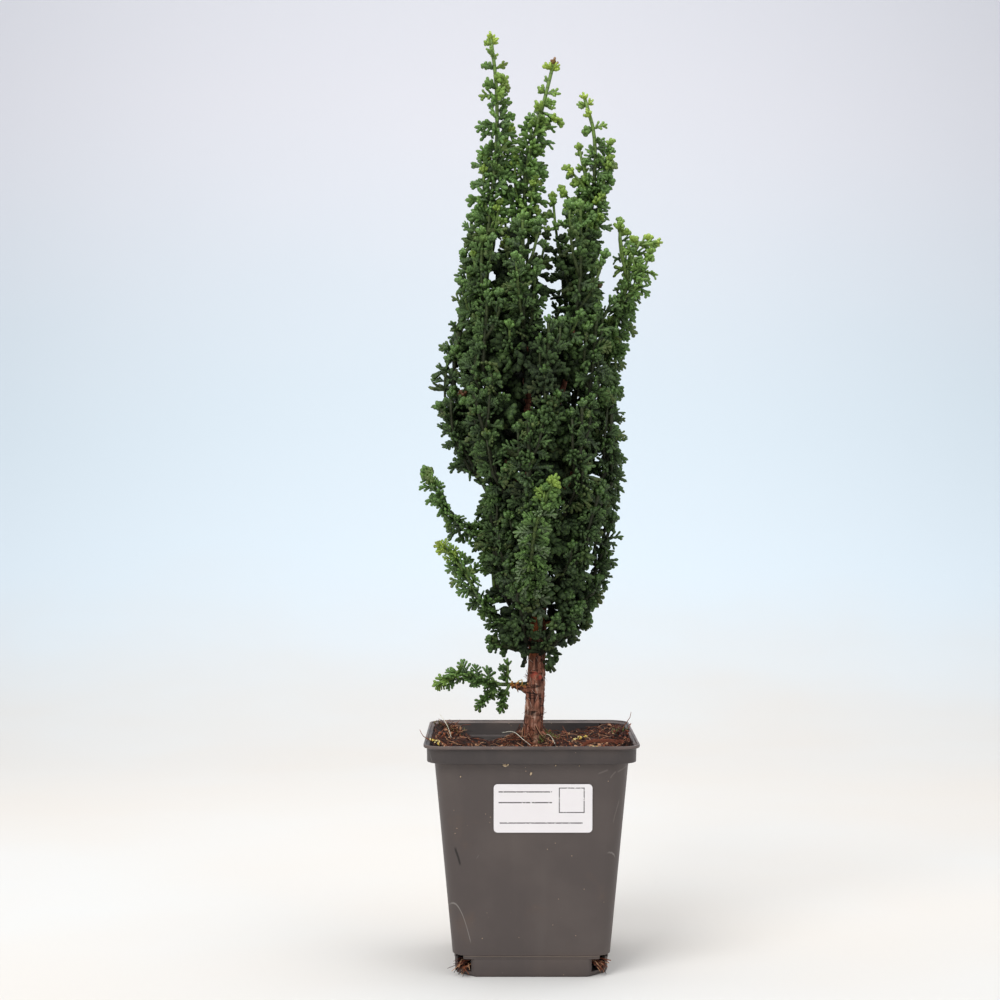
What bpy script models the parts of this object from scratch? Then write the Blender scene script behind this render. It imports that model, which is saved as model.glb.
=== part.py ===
"""A young hinoki cypress bonsai in its square nursery pot, at its real size.

Metres, +Z up. The origin is the centre of the pot's underside, the pot's sides face along X and Y,
and the label is on the front, which faces -Y.
"""

import math
import random

import bmesh
import bpy
import numpy as np
from mathutils import Matrix, Vector

MM = 0.001
GAP = 0.3 * MM  # left between two pieces that touch

# Pot: half widths are measured to the outside of the wall.
POT_HEIGHT = 120 * MM
WALL = 1.3 * MM
LIP_HALF = 55 * MM
LIP_HEIGHT = 1.6 * MM
BAND_HALF = 53.2 * MM
BAND_HEIGHT = 9.4 * MM
BODY_TOP_HALF = 49.5 * MM
BODY_FOOT_HALF = 40.4 * MM
CORNER_RADIUS = 8 * MM
FLOOR_TOP = 10.6 * MM
FOOT_HALF = 39.6 * MM
FOOT_FLAT_HALF = 29.5 * MM
FOOT_LEDGE = 0.4 * MM  # the floor's rim inside the foot
DRAIN_OUT = 34 * MM
DRAIN_RADIUS = 5 * MM
DRAIN_LOW = 2.5 * MM
DRAIN_TALL = 12 * MM

# Label
LABEL_SIZE = (50 * MM, 25 * MM)
LABEL_CENTRE = (5.7 * MM, 87.8 * MM)
LABEL_THICKNESS = 0.3 * MM
LABEL_CORNER = 2 * MM

# Soil: heights above the pot's underside.
SOIL_MEAN = 114 * MM
SOIL_MOUND = 5 * MM
SOIL_CELLS = 8

# Foliage
SHOOT_RADIUS = 1.3 * MM
SHOOT_WIDEST = 0.66  # share of a shoot's length, from its foot
GOLDEN_ANGLE = math.radians(137.5)

BARK = ((0.115, 0.045, 0.028), 0.85)
PEAT = ((0.060, 0.022, 0.012), 0.95)
PLASTIC = ((0.055, 0.055, 0.058), 0.50)
PAPER = ((0.840, 0.790, 0.790), 0.45)
OLD_GREEN = ((0.030, 0.085, 0.025), 0.55)
NEW_GREEN = ((0.085, 0.190, 0.030), 0.55)

# Wood, in millimetres: the points of each stem's centre line, and its radius at both ends.
TRUNK = [(0, 0, 92), (1.2, 0, 118), (2.5, 0, 140), (3.6, 0.5, 162), (4, 1, 190), (3, 2, 218),
         (0.5, 2.5, 250), (-1, 2.5, 285), (-3, 2, 330)]
BRANCHES = {
    "left": [(1.8, 2, 228), (-8, -1, 252), (-18, -3, 284), (-22, -3, 320)],
    "right": [(0.6, 2.4, 256), (10, 3, 282), (20, 4, 312), (24, 4, 340)],
    "outer_right": [(2.6, 2.1, 224), (16, 0, 246), (31, -2, 276), (38, -2, 304)],
}
TRUNK_RADII = (7.5, 5.2, 4.7, 4.5, 3.9, 3.3, 2.7, 2.2, 1.4)
BRANCH_RADII = (2.1, 1.1)
SURFACE_ROOTS = [(20, 17), (95, 15), (160, 19), (215, 14), (285, 18), (330, 15)]  # heading, reach

# Leafy stems that show by themselves, in millimetres: centre line, core radii, spike, shoot, shoots.
LEADER = (2.4, 4.6, 5.2, 4.8, 3.6, 2.6, 1.8, 1.1)
BUSHY = (1.6, 3.4, 4.6, 4.2, 3, 1.3)
FLAT = (1.3, 1.7, 2.2, 2, 1)
STEMS = {
    "leader_left": ([(-22, -3, 312), (-25, -3, 350), (-22, -2, 390), (-18, -1, 430), (-18, 0, 462),
                     (-20, 0, 481)], LEADER, 4.6, 10, 25),
    "leader_middle": ([(-3, 2, 322), (-7, 1, 350), (-4, 0, 390), (-1, 0, 425), (6, 1, 450),
                       (10.5, 2, 468)], LEADER, 4.6, 10, 24),
    "leader_right": ([(24, 4, 330), (27, 4, 356), (32, 2, 392), (34.5, 0, 425), (33, 0, 442),
                      (31, 0, 449)], LEADER, 4.6, 10, 22),
    "leader_outer_right": ([(37, -2, 298), (43, -2, 326), (49, -1, 358), (53, 0, 375), (59, 0, 380)],
                           (1.8, 2.6, 3.4, 3.8, 1.6), 4.4, 9.5, 19),
    "spray_low_left": ([(0, 0, 146), (-16, -4, 146), (-28, -8, 150), (-37, -9, 152), (-44, -10, 149)],
                       FLAT, 3.2, 9, 20),
    "spray_bright_left": ([(0, 0, 172), (-17, -5, 180), (-27, -8, 192), (-34, -9, 205), (-41, -9, 213)],
                          FLAT, 3.2, 9, 17),
    "spray_upswept_left": ([(0, 0, 212), (-20, -6, 222), (-38, -10, 232), (-46, -11, 243),
                            (-52, -11, 253)], FLAT, 3.4, 9, 18),
    "spray_bright_front": ([(3, 0, 186), (2, -22, 196), (0, -36, 212), (2, -41, 230), (8, -41, 246)],
                           (1.3, 2.2, 2.8, 2.4, 1.1), 3.6, 8.5, 18),
    "spray_tuft_left": ([(3, 0, 163), (-8, 0, 164), (-17, -2, 167), (-23, -3, 171)], (1.1, 1.6, 1),
                        2.2, 6.5, 9),
    "spray_tuft_right": ([(3, 0, 155), (9, -5, 155), (14, -7, 152)], (1, 1.4, 1), 2, 6, 7),
}

# The crown's outline, in millimetres: height, left, right, and half depth.
CROWN = [(158, -15, 19, 18), (175, -21, 34, 26), (200, -24, 43, 34), (220, -26, 45, 38),
         (246, -29, 50, 42), (262, -41, 50, 43), (285, -51, 50, 43), (312, -51, 49, 41),
         (335, -44, 50, 37), (360, -41, 46, 33), (390, -39, 42, 29)]
# Tiers of stems round the trunk: headings, height on the trunk, then the height of each further point of a
# stem with its share of the way out to the outline.
TIERS = {
    "skirt": ((20, 110, 252, 318), 158, ((162, 0.42), (172, 0.66), (190, 0.84))),
    "lower": ((0, 52, 104, 152, 208, 318), 180, ((190, 0.44), (207, 0.74), (238, 0.88))),
    "middle": ((20, 62, 104, 146, 192, 232, 268, 305, 342), 212, ((226, 0.44), (252, 0.78), (290, 0.88))),
    "upper": ((5, 48, 92, 138, 184, 232, 282, 324), 262, ((276, 0.46), (300, 0.74), (340, 0.86))),
    "top": ((55, 100, 150, 213, 262, 322), 300, ((316, 0.42), (345, 0.68), (388, 0.78))),
}
TIER_SPIKE = 4.6 * MM
TIER_SHOOT = 9.5 * MM
TIER_SHOOTS = {"skirt": 7, "lower": 8, "middle": 9, "upper": 9, "top": 11}
RING_SPACING = 9 * MM
SPIKES_ROUND = 3


def main():
    clear_scene()
    bark = material("bark", BARK)
    peat = material("peat", PEAT)
    green = material("old foliage", OLD_GREEN)
    bright = material("new foliage", NEW_GREEN)

    make_pot(material("pot plastic", PLASTIC))
    make_label(material("label paper", PAPER))
    wood = make_wood("trunk_and_branches", 0.0)
    wood.data.materials.append(bark)
    wood_cutter = as_cutter(make_wood("wood_clearance", GAP))
    make_soil(peat, wood_cutter)
    make_drain_roots(bark)
    make_foliage(green, bright, wood_cutter)
    bpy.data.objects.remove(wood_cutter)


# Scene and mesh helpers

def clear_scene():
    for obj in list(bpy.data.objects):
        bpy.data.objects.remove(obj)
    for name in ("hinoki cypress bonsai", "cutters"):
        collection = bpy.data.collections.new(name)
        bpy.context.scene.collection.children.link(collection)


def material(name, finish):
    colour, roughness = finish
    made = bpy.data.materials.new(name)
    made.use_nodes = True
    shader = made.node_tree.nodes["Principled BSDF"]
    shader.inputs["Base Color"].default_value = (*colour, 1)
    shader.inputs["Roughness"].default_value = roughness
    made.diffuse_color = (*colour, 1)
    return made


def add_object(name, data, collection="hinoki cypress bonsai"):
    obj = bpy.data.objects.new(name, data)
    bpy.data.collections[collection].objects.link(obj)
    return obj


def as_cutter(obj):
    obj.hide_render = True
    obj.display_type = "WIRE"
    return obj


def mesh_from(bm, name):
    bmesh.ops.recalc_face_normals(bm, faces=bm.faces)
    mesh = bpy.data.meshes.new(name)
    bm.to_mesh(mesh)
    bm.free()
    return mesh


def settle(obj):
    """Applies an object's modifiers, or makes a curve a mesh, and returns the object that remains."""
    bpy.context.view_layer.update()
    graph = bpy.context.evaluated_depsgraph_get()
    mesh = bpy.data.meshes.new_from_object(obj.evaluated_get(graph))
    if obj.type == "MESH":
        obj.modifiers.clear()
        obj.data = mesh
        return obj
    bm = bmesh.new()
    bm.from_mesh(mesh)
    bmesh.ops.remove_doubles(bm, verts=bm.verts, dist=0.01 * MM)
    bm.to_mesh(mesh)
    bm.free()
    name = obj.name
    solid = add_object(name + "_mesh", mesh, obj.users_collection[0].name)
    solid.matrix_world = obj.matrix_world.copy()
    bpy.data.objects.remove(obj)
    solid.name = name
    return solid


def combine(obj, operation, other=None, collection=None):
    """One Boolean on obj, with another object or with all of a collection."""
    modifier = obj.modifiers.new(operation.lower(), "BOOLEAN")
    modifier.operation = operation
    if collection:
        modifier.operand_type = "COLLECTION"
        modifier.collection = collection
    else:
        modifier.object = other
    return settle(obj)


def join_all(base, pieces):
    """Fuses loose solids into base with one Boolean union, and removes them."""
    if not pieces:
        return base
    group = bpy.data.collections.new(base.name + " pieces")
    bpy.context.scene.collection.children.link(group)
    for piece in pieces:
        for holder in piece.users_collection:
            holder.objects.unlink(piece)
        group.objects.link(piece)
    base = combine(base, "UNION", collection=group)
    for piece in list(group.objects):
        bpy.data.objects.remove(piece)
    bpy.data.collections.remove(group)
    return base


def keep_largest(obj):
    """Drops the loose scraps that a Boolean left beside a node's one body."""
    bm = bmesh.new()
    bm.from_mesh(obj.data)
    left = set(bm.verts)
    bodies = []
    while left:
        body = [left.pop()]
        for vert in body:
            near = [edge.other_vert(vert) for edge in vert.link_edges]
            fresh = [other for other in near if other in left]
            left.difference_update(fresh)
            body.extend(fresh)
        bodies.append(body)
    largest = max(bodies, key=len)
    scraps = [vert for body in bodies if body is not largest for vert in body]
    bmesh.ops.delete(bm, geom=scraps, context="VERTS")
    bm.to_mesh(obj.data)
    bm.free()


def smooth_path(points, spacing):
    """A smooth line through the points, cut into steps of about the given length."""
    points = [Vector(p) for p in points]
    ends = [2 * points[0] - points[1], *points, 2 * points[-1] - points[-2]]
    line = [points[0]]
    for before, start, stop, after in zip(ends, ends[1:], ends[2:], ends[3:]):
        steps = max(1, round((stop - start).length / spacing))
        for step in range(1, steps + 1):
            t = step / steps
            line.append(0.5 * (2 * start + (stop - before) * t
                               + (2 * before - 5 * start + 4 * stop - after) * t * t
                               + (3 * start - before - 3 * stop + after) * t ** 3))
    return line


def tube(name, points, radii, resolution, collection="cutters"):
    """A tapering tube along the points, with a radius for each, closed at both ends."""
    curve = bpy.data.curves.new(name, "CURVE")
    curve.dimensions = "3D"
    curve.bevel_depth = 1.0
    curve.bevel_resolution = resolution
    curve.use_fill_caps = True
    spline = curve.splines.new("POLY")
    spline.points.add(len(points) - 1)
    for place, point, radius in zip(spline.points, points, radii):
        place.co = (*point, 1)
        place.radius = radius
    return settle(add_object(name, curve, collection))


def spread(values, count):
    """The values, read evenly over count places."""
    places = np.linspace(0, len(values) - 1, count)
    return [float(v) for v in np.interp(places, range(len(values)), values)]


# Pot, label and soil

def rounded_square(half, corner, height, steps=3):
    ring = []
    for quarter in range(4):
        turn = Matrix.Rotation(quarter * math.pi / 2, 3, "Z")
        for step in range(steps + 1):
            angle = step / steps * math.pi / 2
            reach = half - corner
            place = Vector((reach + corner * math.cos(angle), reach + corner * math.sin(angle), height))
            ring.append(turn @ place)
    return ring


def skin(rings, cap_bottom=False, cap_top=False):
    """A surface through rings of as many points each."""
    bm = bmesh.new()
    loops = [[bm.verts.new(point) for point in ring] for ring in rings]
    for low, high in zip(loops, loops[1:]):
        for side in range(len(low)):
            bm.faces.new((low[side - 1], low[side], high[side], high[side - 1]))
    if cap_bottom:
        bm.faces.new(loops[0])
    if cap_top:
        bm.faces.new(loops[-1])
    return bm


def body_half(height):
    """Half width of the pot's tapering body, outside, at a height."""
    share = (height - FLOOR_TOP) / (POT_HEIGHT - BAND_HEIGHT - FLOOR_TOP)
    return BODY_FOOT_HALF + (BODY_TOP_HALF - BODY_FOOT_HALF) * share


def make_pot(plastic):
    band_foot = POT_HEIGHT - BAND_HEIGHT
    lip_foot = POT_HEIGHT - LIP_HEIGHT
    step_height = FLOOR_TOP + 0.6 * MM
    levels = [(FOOT_HALF, FLOOR_TOP - WALL), (FOOT_HALF, step_height),
              (body_half(step_height), step_height + 0.3 * MM), (BODY_TOP_HALF, band_foot),
              (BAND_HALF, band_foot + 0.3 * MM), (BAND_HALF + 0.2 * MM, lip_foot - 0.6 * MM),
              (LIP_HALF, lip_foot), (LIP_HALF, POT_HEIGHT)]
    rings = [rounded_square(half, CORNER_RADIUS, height) for half, height in levels]
    pot = add_object("pot", mesh_from(skin(rings, cap_bottom=True), "pot"))
    thicken(pot)

    foot = foot_solid("pot_foot", 0, 0, FLOOR_TOP - 0.5 * MM)
    pot = join_all(pot, [foot])
    for cutter in (foot_solid("foot_room", WALL + FOOT_LEDGE, WALL, FLOOR_TOP + 1 * MM), *drain_cutters(0)):
        pot = combine(pot, "DIFFERENCE", cutter)
        bpy.data.objects.remove(cutter)
    pot.data.materials.append(plastic)
    smooth_shade(pot)


def foot_solid(name, inset, bottom, top):
    """The pot's foot, a square with its corners cut off, or what is left of it inside an inset."""
    side = FOOT_HALF - inset
    flat = FOOT_FLAT_HALF - inset * (math.sqrt(2) - 1)
    outline = [(-flat, -side), (flat, -side), (side, -flat), (side, flat),
               (flat, side), (-flat, side), (-side, flat), (-side, -flat)]
    rings = [[Vector((x * share, y * share, height)) for x, y in outline]
             for share, height in ((0.965, bottom), (0.99, bottom + 2 * MM), (0.995, top))]
    return as_cutter(add_object(name, mesh_from(skin(rings, True, True), name), "cutters"))


def thicken(obj):
    shell = obj.modifiers.new("wall", "SOLIDIFY")
    shell.thickness = WALL
    shell.offset = -1
    shell.use_even_offset = True
    settle(obj)


def drain_cutters(extra):
    """The openings at the foot's four corners, each made wider by extra."""
    radius = DRAIN_RADIUS + extra
    for out_x, out_y in ((1, 1), (-1, 1), (-1, -1), (1, -1)):
        bm = bmesh.new()
        bmesh.ops.create_cone(bm, cap_ends=True, segments=10, radius1=radius, radius2=radius, depth=DRAIN_TALL)
        cutter = as_cutter(add_object("drain", mesh_from(bm, "drain"), "cutters"))
        cutter.location = (out_x * DRAIN_OUT, out_y * DRAIN_OUT, DRAIN_LOW - extra + DRAIN_TALL / 2)
        yield cutter


def smooth_shade(obj, sharp=35):
    obj.data.shade_smooth()
    obj.data.set_sharp_from_angle(angle=math.radians(sharp))


def make_label(paper):
    width, height = LABEL_SIZE
    outline = bpy.data.curves.new("label", "CURVE")
    outline.dimensions = "2D"
    outline.fill_mode = "BOTH"
    outline.extrude = LABEL_THICKNESS / 2
    spline = outline.splines.new("POLY")
    corners = []
    for quarter in range(4):
        middle = (width / 2 - LABEL_CORNER) * (1, -1, -1, 1)[quarter]
        level = (height / 2 - LABEL_CORNER) * (1, 1, -1, -1)[quarter]
        for step in range(4):
            angle = (quarter + step / 3) * math.pi / 2
            corners.append((middle + LABEL_CORNER * math.cos(angle),
                            level + LABEL_CORNER * math.sin(angle)))
    spline.points.add(len(corners) - 1)
    for point, (x, y) in zip(spline.points, corners):
        point.co = (x, y, 0, 1)
    spline.use_cyclic_u = True
    label = add_object("label", outline)
    rise = POT_HEIGHT - BAND_HEIGHT - FLOOR_TOP
    slope = math.atan((BODY_TOP_HALF - BODY_FOOT_HALF) / rise)
    x, z = LABEL_CENTRE
    stand_off = GAP + LABEL_THICKNESS / 2
    label.location = (x, -body_half(z) - stand_off / math.cos(slope), z)
    label.rotation_euler = (math.pi / 2 + slope, 0, 0)
    label = settle(label)
    label.data.materials.append(paper)


def soil_height(x, y):
    """The peat's surface: a mound at the trunk, banked up at both sides and low at the back left."""
    half = BODY_TOP_HALF
    u, v = x / half, y / half
    mound = SOIL_MOUND * math.exp(-(u * u + v * v) / 0.12)
    banks = 4.5 * MM * u ** 4 + 2.0 * MM * max(0.0, -v) ** 3
    hollow = -6.5 * MM * math.exp(-((u + 0.45) ** 2 / 0.10 + (v - 0.85) ** 2 / 0.30))
    lumps = 0.9 * MM * (math.sin(9.1 * u + 1.3) * math.sin(7.7 * v + 0.4)
                        + 0.8 * math.sin(15.3 * u - 11.9 * v) + 0.6 * math.cos(19.7 * v + 8.3 * u))
    return min(SOIL_MEAN + mound + banks + hollow + lumps, POT_HEIGHT + 1.5 * MM)


def make_soil(peat, wood_cutter):
    bm = bmesh.new()
    bmesh.ops.create_grid(bm, x_segments=SOIL_CELLS, y_segments=SOIL_CELLS, size=LIP_HALF)
    top = bm.verts[:]
    below = bmesh.ops.extrude_face_region(bm, geom=bm.faces[:])["geom"]
    for vert in top:
        vert.co.z = soil_height(vert.co.x, vert.co.y)
    for vert in (v for v in below if isinstance(v, bmesh.types.BMVert)):
        vert.co.z = 0
    soil = add_object("soil", mesh_from(bm, "soil"))

    inset = WALL + GAP
    band_foot = POT_HEIGHT - BAND_HEIGHT + 0.3 * MM
    corner = CORNER_RADIUS - inset
    floor = FLOOR_TOP + GAP
    levels = [(FOOT_HALF - inset - GAP, floor), (FOOT_HALF - inset - GAP, FLOOR_TOP + 1.5 * MM),
              (body_half(FLOOR_TOP + 4 * MM) - inset - GAP, FLOOR_TOP + 4 * MM),
              (BODY_TOP_HALF - inset, band_foot - 1.5 * MM),
              (BODY_TOP_HALF - inset, band_foot + WALL + GAP),
              (BAND_HALF - inset - GAP, band_foot + WALL + 1.5 * MM),
              (BAND_HALF - inset - GAP, POT_HEIGHT + 4 * MM)]
    rings = [rounded_square(half, corner, height) for half, height in levels]
    cavity = add_object("cavity", mesh_from(skin(rings, cap_bottom=True, cap_top=True), "cavity"), "cutters")
    as_cutter(cavity)
    inset += FOOT_LEDGE
    cavity = join_all(cavity, [foot_solid("foot_cavity", inset, WALL + GAP, FLOOR_TOP + 2 * MM)])
    soil = combine(soil, "INTERSECT", cavity)
    bpy.data.objects.remove(cavity)
    for cutter in drain_cutters(GAP):
        soil = combine(soil, "DIFFERENCE", cutter)
        bpy.data.objects.remove(cutter)
    soil = combine(soil, "DIFFERENCE", wood_cutter)
    soil.data.materials.append(peat)


def make_drain_roots(bark):
    """Fine roots that have grown out of the corner drains and lie in the notches of the foot."""
    draw = random.Random(11)
    for number, quarter in enumerate(("back_right", "back_left", "front_left", "front_right")):
        heading = math.radians(45 + 90 * number)
        out = Vector((math.cos(heading), math.sin(heading), 0))
        side = Vector((-out.y, out.x, 0))
        hole = out * DRAIN_OUT * math.sqrt(2)
        top = DRAIN_LOW + DRAIN_TALL - 2 * GAP
        line = [hole + Vector((0, 0, top)), hole + Vector((0, 0, 7 * MM)),
                hole + out * 1.5 * MM + Vector((0, 0, 3.2 * MM))]
        core = tube("drain_roots_" + quarter, line, [DRAIN_RADIUS - GAP, 3.6 * MM, 1.2 * MM], 1,
                    "hinoki cypress bonsai")
        strands = []
        for strand in range(3):
            lean = strand - 1
            start = hole + Vector((0, 0, 6.5 * MM)) + side * lean * 1.2 * MM
            bend = start + out * draw.uniform(1.5, 3) * MM + side * lean * 3 * MM
            bend.z = draw.uniform(3.5, 5.5) * MM
            tip = bend + out * draw.uniform(0.5, 2.5) * MM + side * lean * draw.uniform(2, 4) * MM
            tip.z = draw.uniform(1.0, 2.2) * MM
            line = smooth_path([start, bend, tip], 4 * MM)
            strands.append(tube("root", line, spread([0.8 * MM, 0.45 * MM], len(line)), 0))
        core = join_all(core, strands)
        core.data.materials.append(bark)


# Wood

def stems():
    """Each woody stem as (name, points, radii), in metres."""
    line = smooth_path([Vector(p) * MM for p in TRUNK], 13 * MM)
    yield "trunk", line, [r * MM for r in spread(TRUNK_RADII, len(line))], 2
    for name, points in BRANCHES.items():
        line = smooth_path([Vector(p) * MM for p in points], 14 * MM)
        yield name, line, [r * MM for r in spread(BRANCH_RADII, len(line))], 0
    for heading, reach in SURFACE_ROOTS:
        turn = math.radians(heading)
        out = Vector((math.cos(turn), math.sin(turn), 0))
        points = [out * 1.5 * MM, out * 0.45 * reach * MM, out * reach * MM]
        drops = (120.5, 0, -3)
        line = []
        for point, drop in zip(points, drops):
            ground = soil_height(point.x, point.y)
            line.append(Vector((point.x, point.y, drop * MM if drop > 50 else ground + drop * MM)))
        yield f"root_{heading}", smooth_path(line, 7 * MM), None, 0


def make_wood(name, extra):
    """The trunk, its branches and its surface roots as one solid, with every radius made larger by extra."""
    pieces = []
    for stem, line, radii, resolution in stems():
        if radii is None:
            radii = [r * MM for r in spread((2.6, 1.5, 0.8), len(line))]
        fat = [r + extra for r in radii]
        line[0] += (line[0] - line[1]).normalized() * extra
        line[-1] += (line[-1] - line[-2]).normalized() * extra
        pieces.append(tube(name if stem == "trunk" else stem, line, fat, resolution,
                           "hinoki cypress bonsai" if stem == "trunk" else "cutters"))
    return join_all(pieces[0], pieces[1:])


# Foliage

class Room:
    """Remembers the rods of space that stems and shoots fill, so that no two nodes cross."""

    def __init__(self):
        self.starts, self.ends, self.radii, self.owners = [], [], [], []

    def take(self, owner, start, end, radius):
        self.starts.append(start)
        self.ends.append(end)
        self.radii.append(radius)
        self.owners.append(owner)

    def spare(self, owner, start, end, radius):
        """The least space between a rod and those of all other owners."""
        others = np.array([o != owner for o in self.owners])
        first = np.array(self.starts)[others]
        along = np.array(self.ends)[others] - first
        radii = np.array(self.radii)[others]
        places = np.linspace(np.array(start), np.array(end), 9)
        offset = places[:, None] - first[None]
        share = (offset * along).sum(-1) / np.maximum((along * along).sum(-1), 1e-12)
        offset = offset - along * np.clip(share, 0, 1)[..., None]
        return float((np.linalg.norm(offset, axis=-1) - radii).min()) - radius


def shoot_mesh():
    """One shoot, a unit long and a unit in radius: slim at its foot, fullest past the middle, blunt."""
    bm = bmesh.new()
    bmesh.ops.create_cone(bm, cap_ends=True, segments=3, radius1=1, radius2=0, depth=1 - SHOOT_WIDEST)
    bmesh.ops.translate(bm, verts=bm.verts, vec=(0, 0, (1 + SHOOT_WIDEST) / 2))
    base = min(bm.faces, key=lambda face: face.calc_center_median().z)
    foot = bmesh.ops.poke(bm, faces=[base])["verts"][0]
    foot.co = (0, 0, 0)
    return mesh_from(bm, "shoot")


def frames(path):
    """At each point of a path, the direction along it and two across it that never turn over."""
    first = (path[1] - path[0]).normalized()
    side = first.cross(Vector((0, 0, 1)))
    if side.length < 0.3:
        side = Vector((1, 0, 0))
    for before, point, after in zip([path[0], *path], path, [*path[1:], path[-1]]):
        along = (after - before).normalized()
        side = (side - along * side.dot(along)).normalized()
        yield point, along, side, side.cross(along)


class Spray:
    """A leafy stem: a spiky core along its path, and shoots that stand out of it all round."""

    def __init__(self, name, path, radii, spike, longest, count, bright):
        self.name, self.bright = name, bright
        self.longest, self.count = longest, count
        self.path = path
        self.radii = [r * MM for r in spread(radii, len(path))]
        places = np.linspace(0, 1, len(path))
        bare = 0.06 if name.startswith("leader") else 0.24
        self.bare = bare
        self.spikes = [spike * float(np.interp(p, (0, bare, bare + 0.1, 0.9, 1), (0, 0.3, 1, 0.8, 0.3)))
                       for p in places]
        self.seed = sum(ord(c) * (i + 1) for i, c in enumerate(name))
        self.shoots = []

    def claim_core(self, lines, room):
        """Fills the core's space, once it's slim enough to stay clear of every other stem."""
        for index, point in enumerate(self.path):
            near = lines.spare(self.name, point, point, 0)
            allowed = max(0.7 * MM, near / 2 - GAP)
            self.radii[index] = min(self.radii[index], allowed)
            self.spikes[index] = min(self.spikes[index], allowed - self.radii[index])
        reach = [r + s for r, s in zip(self.radii, self.spikes)]
        for index in range(len(self.path) - 1):
            room.take(self.name, self.path[index], self.path[index + 1], max(reach[index:index + 2]))

    def core_mesh(self):
        """Rings with spikes that point up the stem, each ring's spikes between those of the ring below."""
        sides = 2 * SPIKES_ROUND
        bm = bmesh.new()
        loops = []
        for index, (point, along, side, up) in enumerate(frames(self.path)):
            loop = []
            for number in range(sides):
                angle = number / sides * math.tau
                out = side * math.cos(angle) + up * math.sin(angle)
                spike = self.spikes[index] if (number + index) % 2 else 0
                ahead = along * min(0.9 * spike, 0.6 * RING_SPACING)
                loop.append(bm.verts.new(point + out * (self.radii[index] + spike) + ahead))
            loops.append(loop)
        for index, (low, high) in enumerate(zip(loops, loops[1:])):
            for number in range(sides):
                a, b, c, d = low[number - 1], low[number], high[number], high[number - 1]
                if (number + index) % 2:
                    triangles = (a, b, c), (a, c, d)
                else:
                    triangles = (a, b, d), (b, c, d)
                for triangle in triangles:
                    bm.faces.new(triangle)
        caps = [bm.faces.new(loops[0]), bm.faces.new(loops[-1])]
        bmesh.ops.poke(bm, faces=caps)
        return mesh_from(bm, self.name)

    def grow_shoots(self, room):
        draw = random.Random(self.seed)
        rings = list(frames(self.path))
        for number in range(self.count + 1):
            share = self.bare + (1 - self.bare) * (number + 0.5) / self.count
            place = min(share, 1) * (len(rings) - 1)
            low = min(int(place), len(rings) - 2)
            foot = rings[low][0].lerp(rings[low + 1][0], place - low)
            _, along, side, up = rings[low]
            turn = number * GOLDEN_ANGLE + draw.uniform(-0.35, 0.35)
            out = side * math.cos(turn) + up * math.sin(turn)
            lean = math.radians(0 if number == self.count else 58 - 22 * share + draw.uniform(-8, 8))
            direction = (along * math.cos(lean) + out * math.sin(lean)).normalized()
            reach = self.radii[low] + self.longest * draw.uniform(0.85, 1.15)
            for trial in (1.0, 0.85, 0.7):
                tip = foot + direction * reach * trial
                if room.spare(self.name, foot, tip, SHOOT_RADIUS) > 1.3 * GAP:
                    room.take(self.name, foot, tip, SHOOT_RADIUS)
                    self.shoots.append((foot, direction, reach * trial))
                    break

    def build(self, shoot, wood_cutter, green):
        core = add_object(self.name, self.core_mesh())
        draw = random.Random(self.seed + 9)
        pieces = []
        for foot, direction, length in self.shoots:
            piece = add_object("shoot", shoot, "cutters")
            roll = Matrix.Rotation(draw.uniform(0, math.tau), 4, "Z")
            size = Matrix.Diagonal((SHOOT_RADIUS, SHOOT_RADIUS, length, 1))
            turn = direction.to_track_quat("Z", "Y").to_matrix().to_4x4()
            piece.matrix_world = Matrix.Translation(foot) @ turn @ roll @ size
            pieces.append(piece)
        node = join_all(core, pieces)
        node = combine(node, "DIFFERENCE", wood_cutter)
        keep_largest(node)
        node.data.materials.append(green)
        return node


def outline_at(height, heading, share):
    """A point at a share of the way from the crown's middle out to its outline."""
    heights = [row[0] for row in CROWN]
    left, right, depth = (float(np.interp(height, heights, [row[i] for row in CROWN])) for i in (1, 2, 3))
    half = right if math.cos(heading) > 0 else -left
    return Vector((half * math.cos(heading) * share, depth * math.sin(heading) * share, height)) * MM


def on_trunk(height):
    """The trunk's centre at a height in millimetres."""
    heights = [p[2] for p in TRUNK]
    x, y = (float(np.interp(height, heights, [p[i] for p in TRUNK])) for i in (0, 1))
    return Vector((x, y, height)) * MM


def plan_sprays():
    for name, (points, radii, spike, longest, count) in STEMS.items():
        path = smooth_path([Vector(p) * MM for p in points], RING_SPACING)
        yield Spray(name, path, radii, spike * MM, longest * MM, count,
                    name.startswith("leader") or "bright" in name)
    for tier, (headings, height, points) in TIERS.items():
        for number, degrees in enumerate(headings):
            heading = math.radians(degrees)
            lift = 7 * (number % 3 - 1)
            line = [on_trunk(height + lift)]
            line += [outline_at(z + lift, heading, share) for z, share in points]
            path = smooth_path(line, RING_SPACING)
            yield Spray(f"{tier}_spray_{number + 1}", path, BUSHY, TIER_SPIKE, TIER_SHOOT,
                        TIER_SHOOTS[tier], False)


def make_foliage(green, bright, wood_cutter):
    sprays = list(plan_sprays())
    lines = Room()
    for spray in sprays:
        for a, b in zip(spray.path, spray.path[1:]):
            lines.take(spray.name, a, b, 0)
    room = Room()
    for name, line, radii, _ in stems():
        if radii is None:
            radii = [2.6 * MM] * len(line)
        for a, b, r in zip(line, line[1:], radii):
            room.take("wood", a, b, r)
    for spray in sprays:
        spray.claim_core(lines, room)
    for spray in sprays:
        spray.grow_shoots(room)
    shoot = shoot_mesh()
    for spray in sprays:
        spray.build(shoot, wood_cutter, bright if spray.bright else green)


main()
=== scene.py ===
"""A young hinoki cypress bonsai in its square nursery pot, finished for a close look.

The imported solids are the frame. Every leafy stem is grown again here along the same line with scale-covered
fans, and the wood, the peat, the pot and its label are made finer in place of their plain solids.
"""

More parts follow.
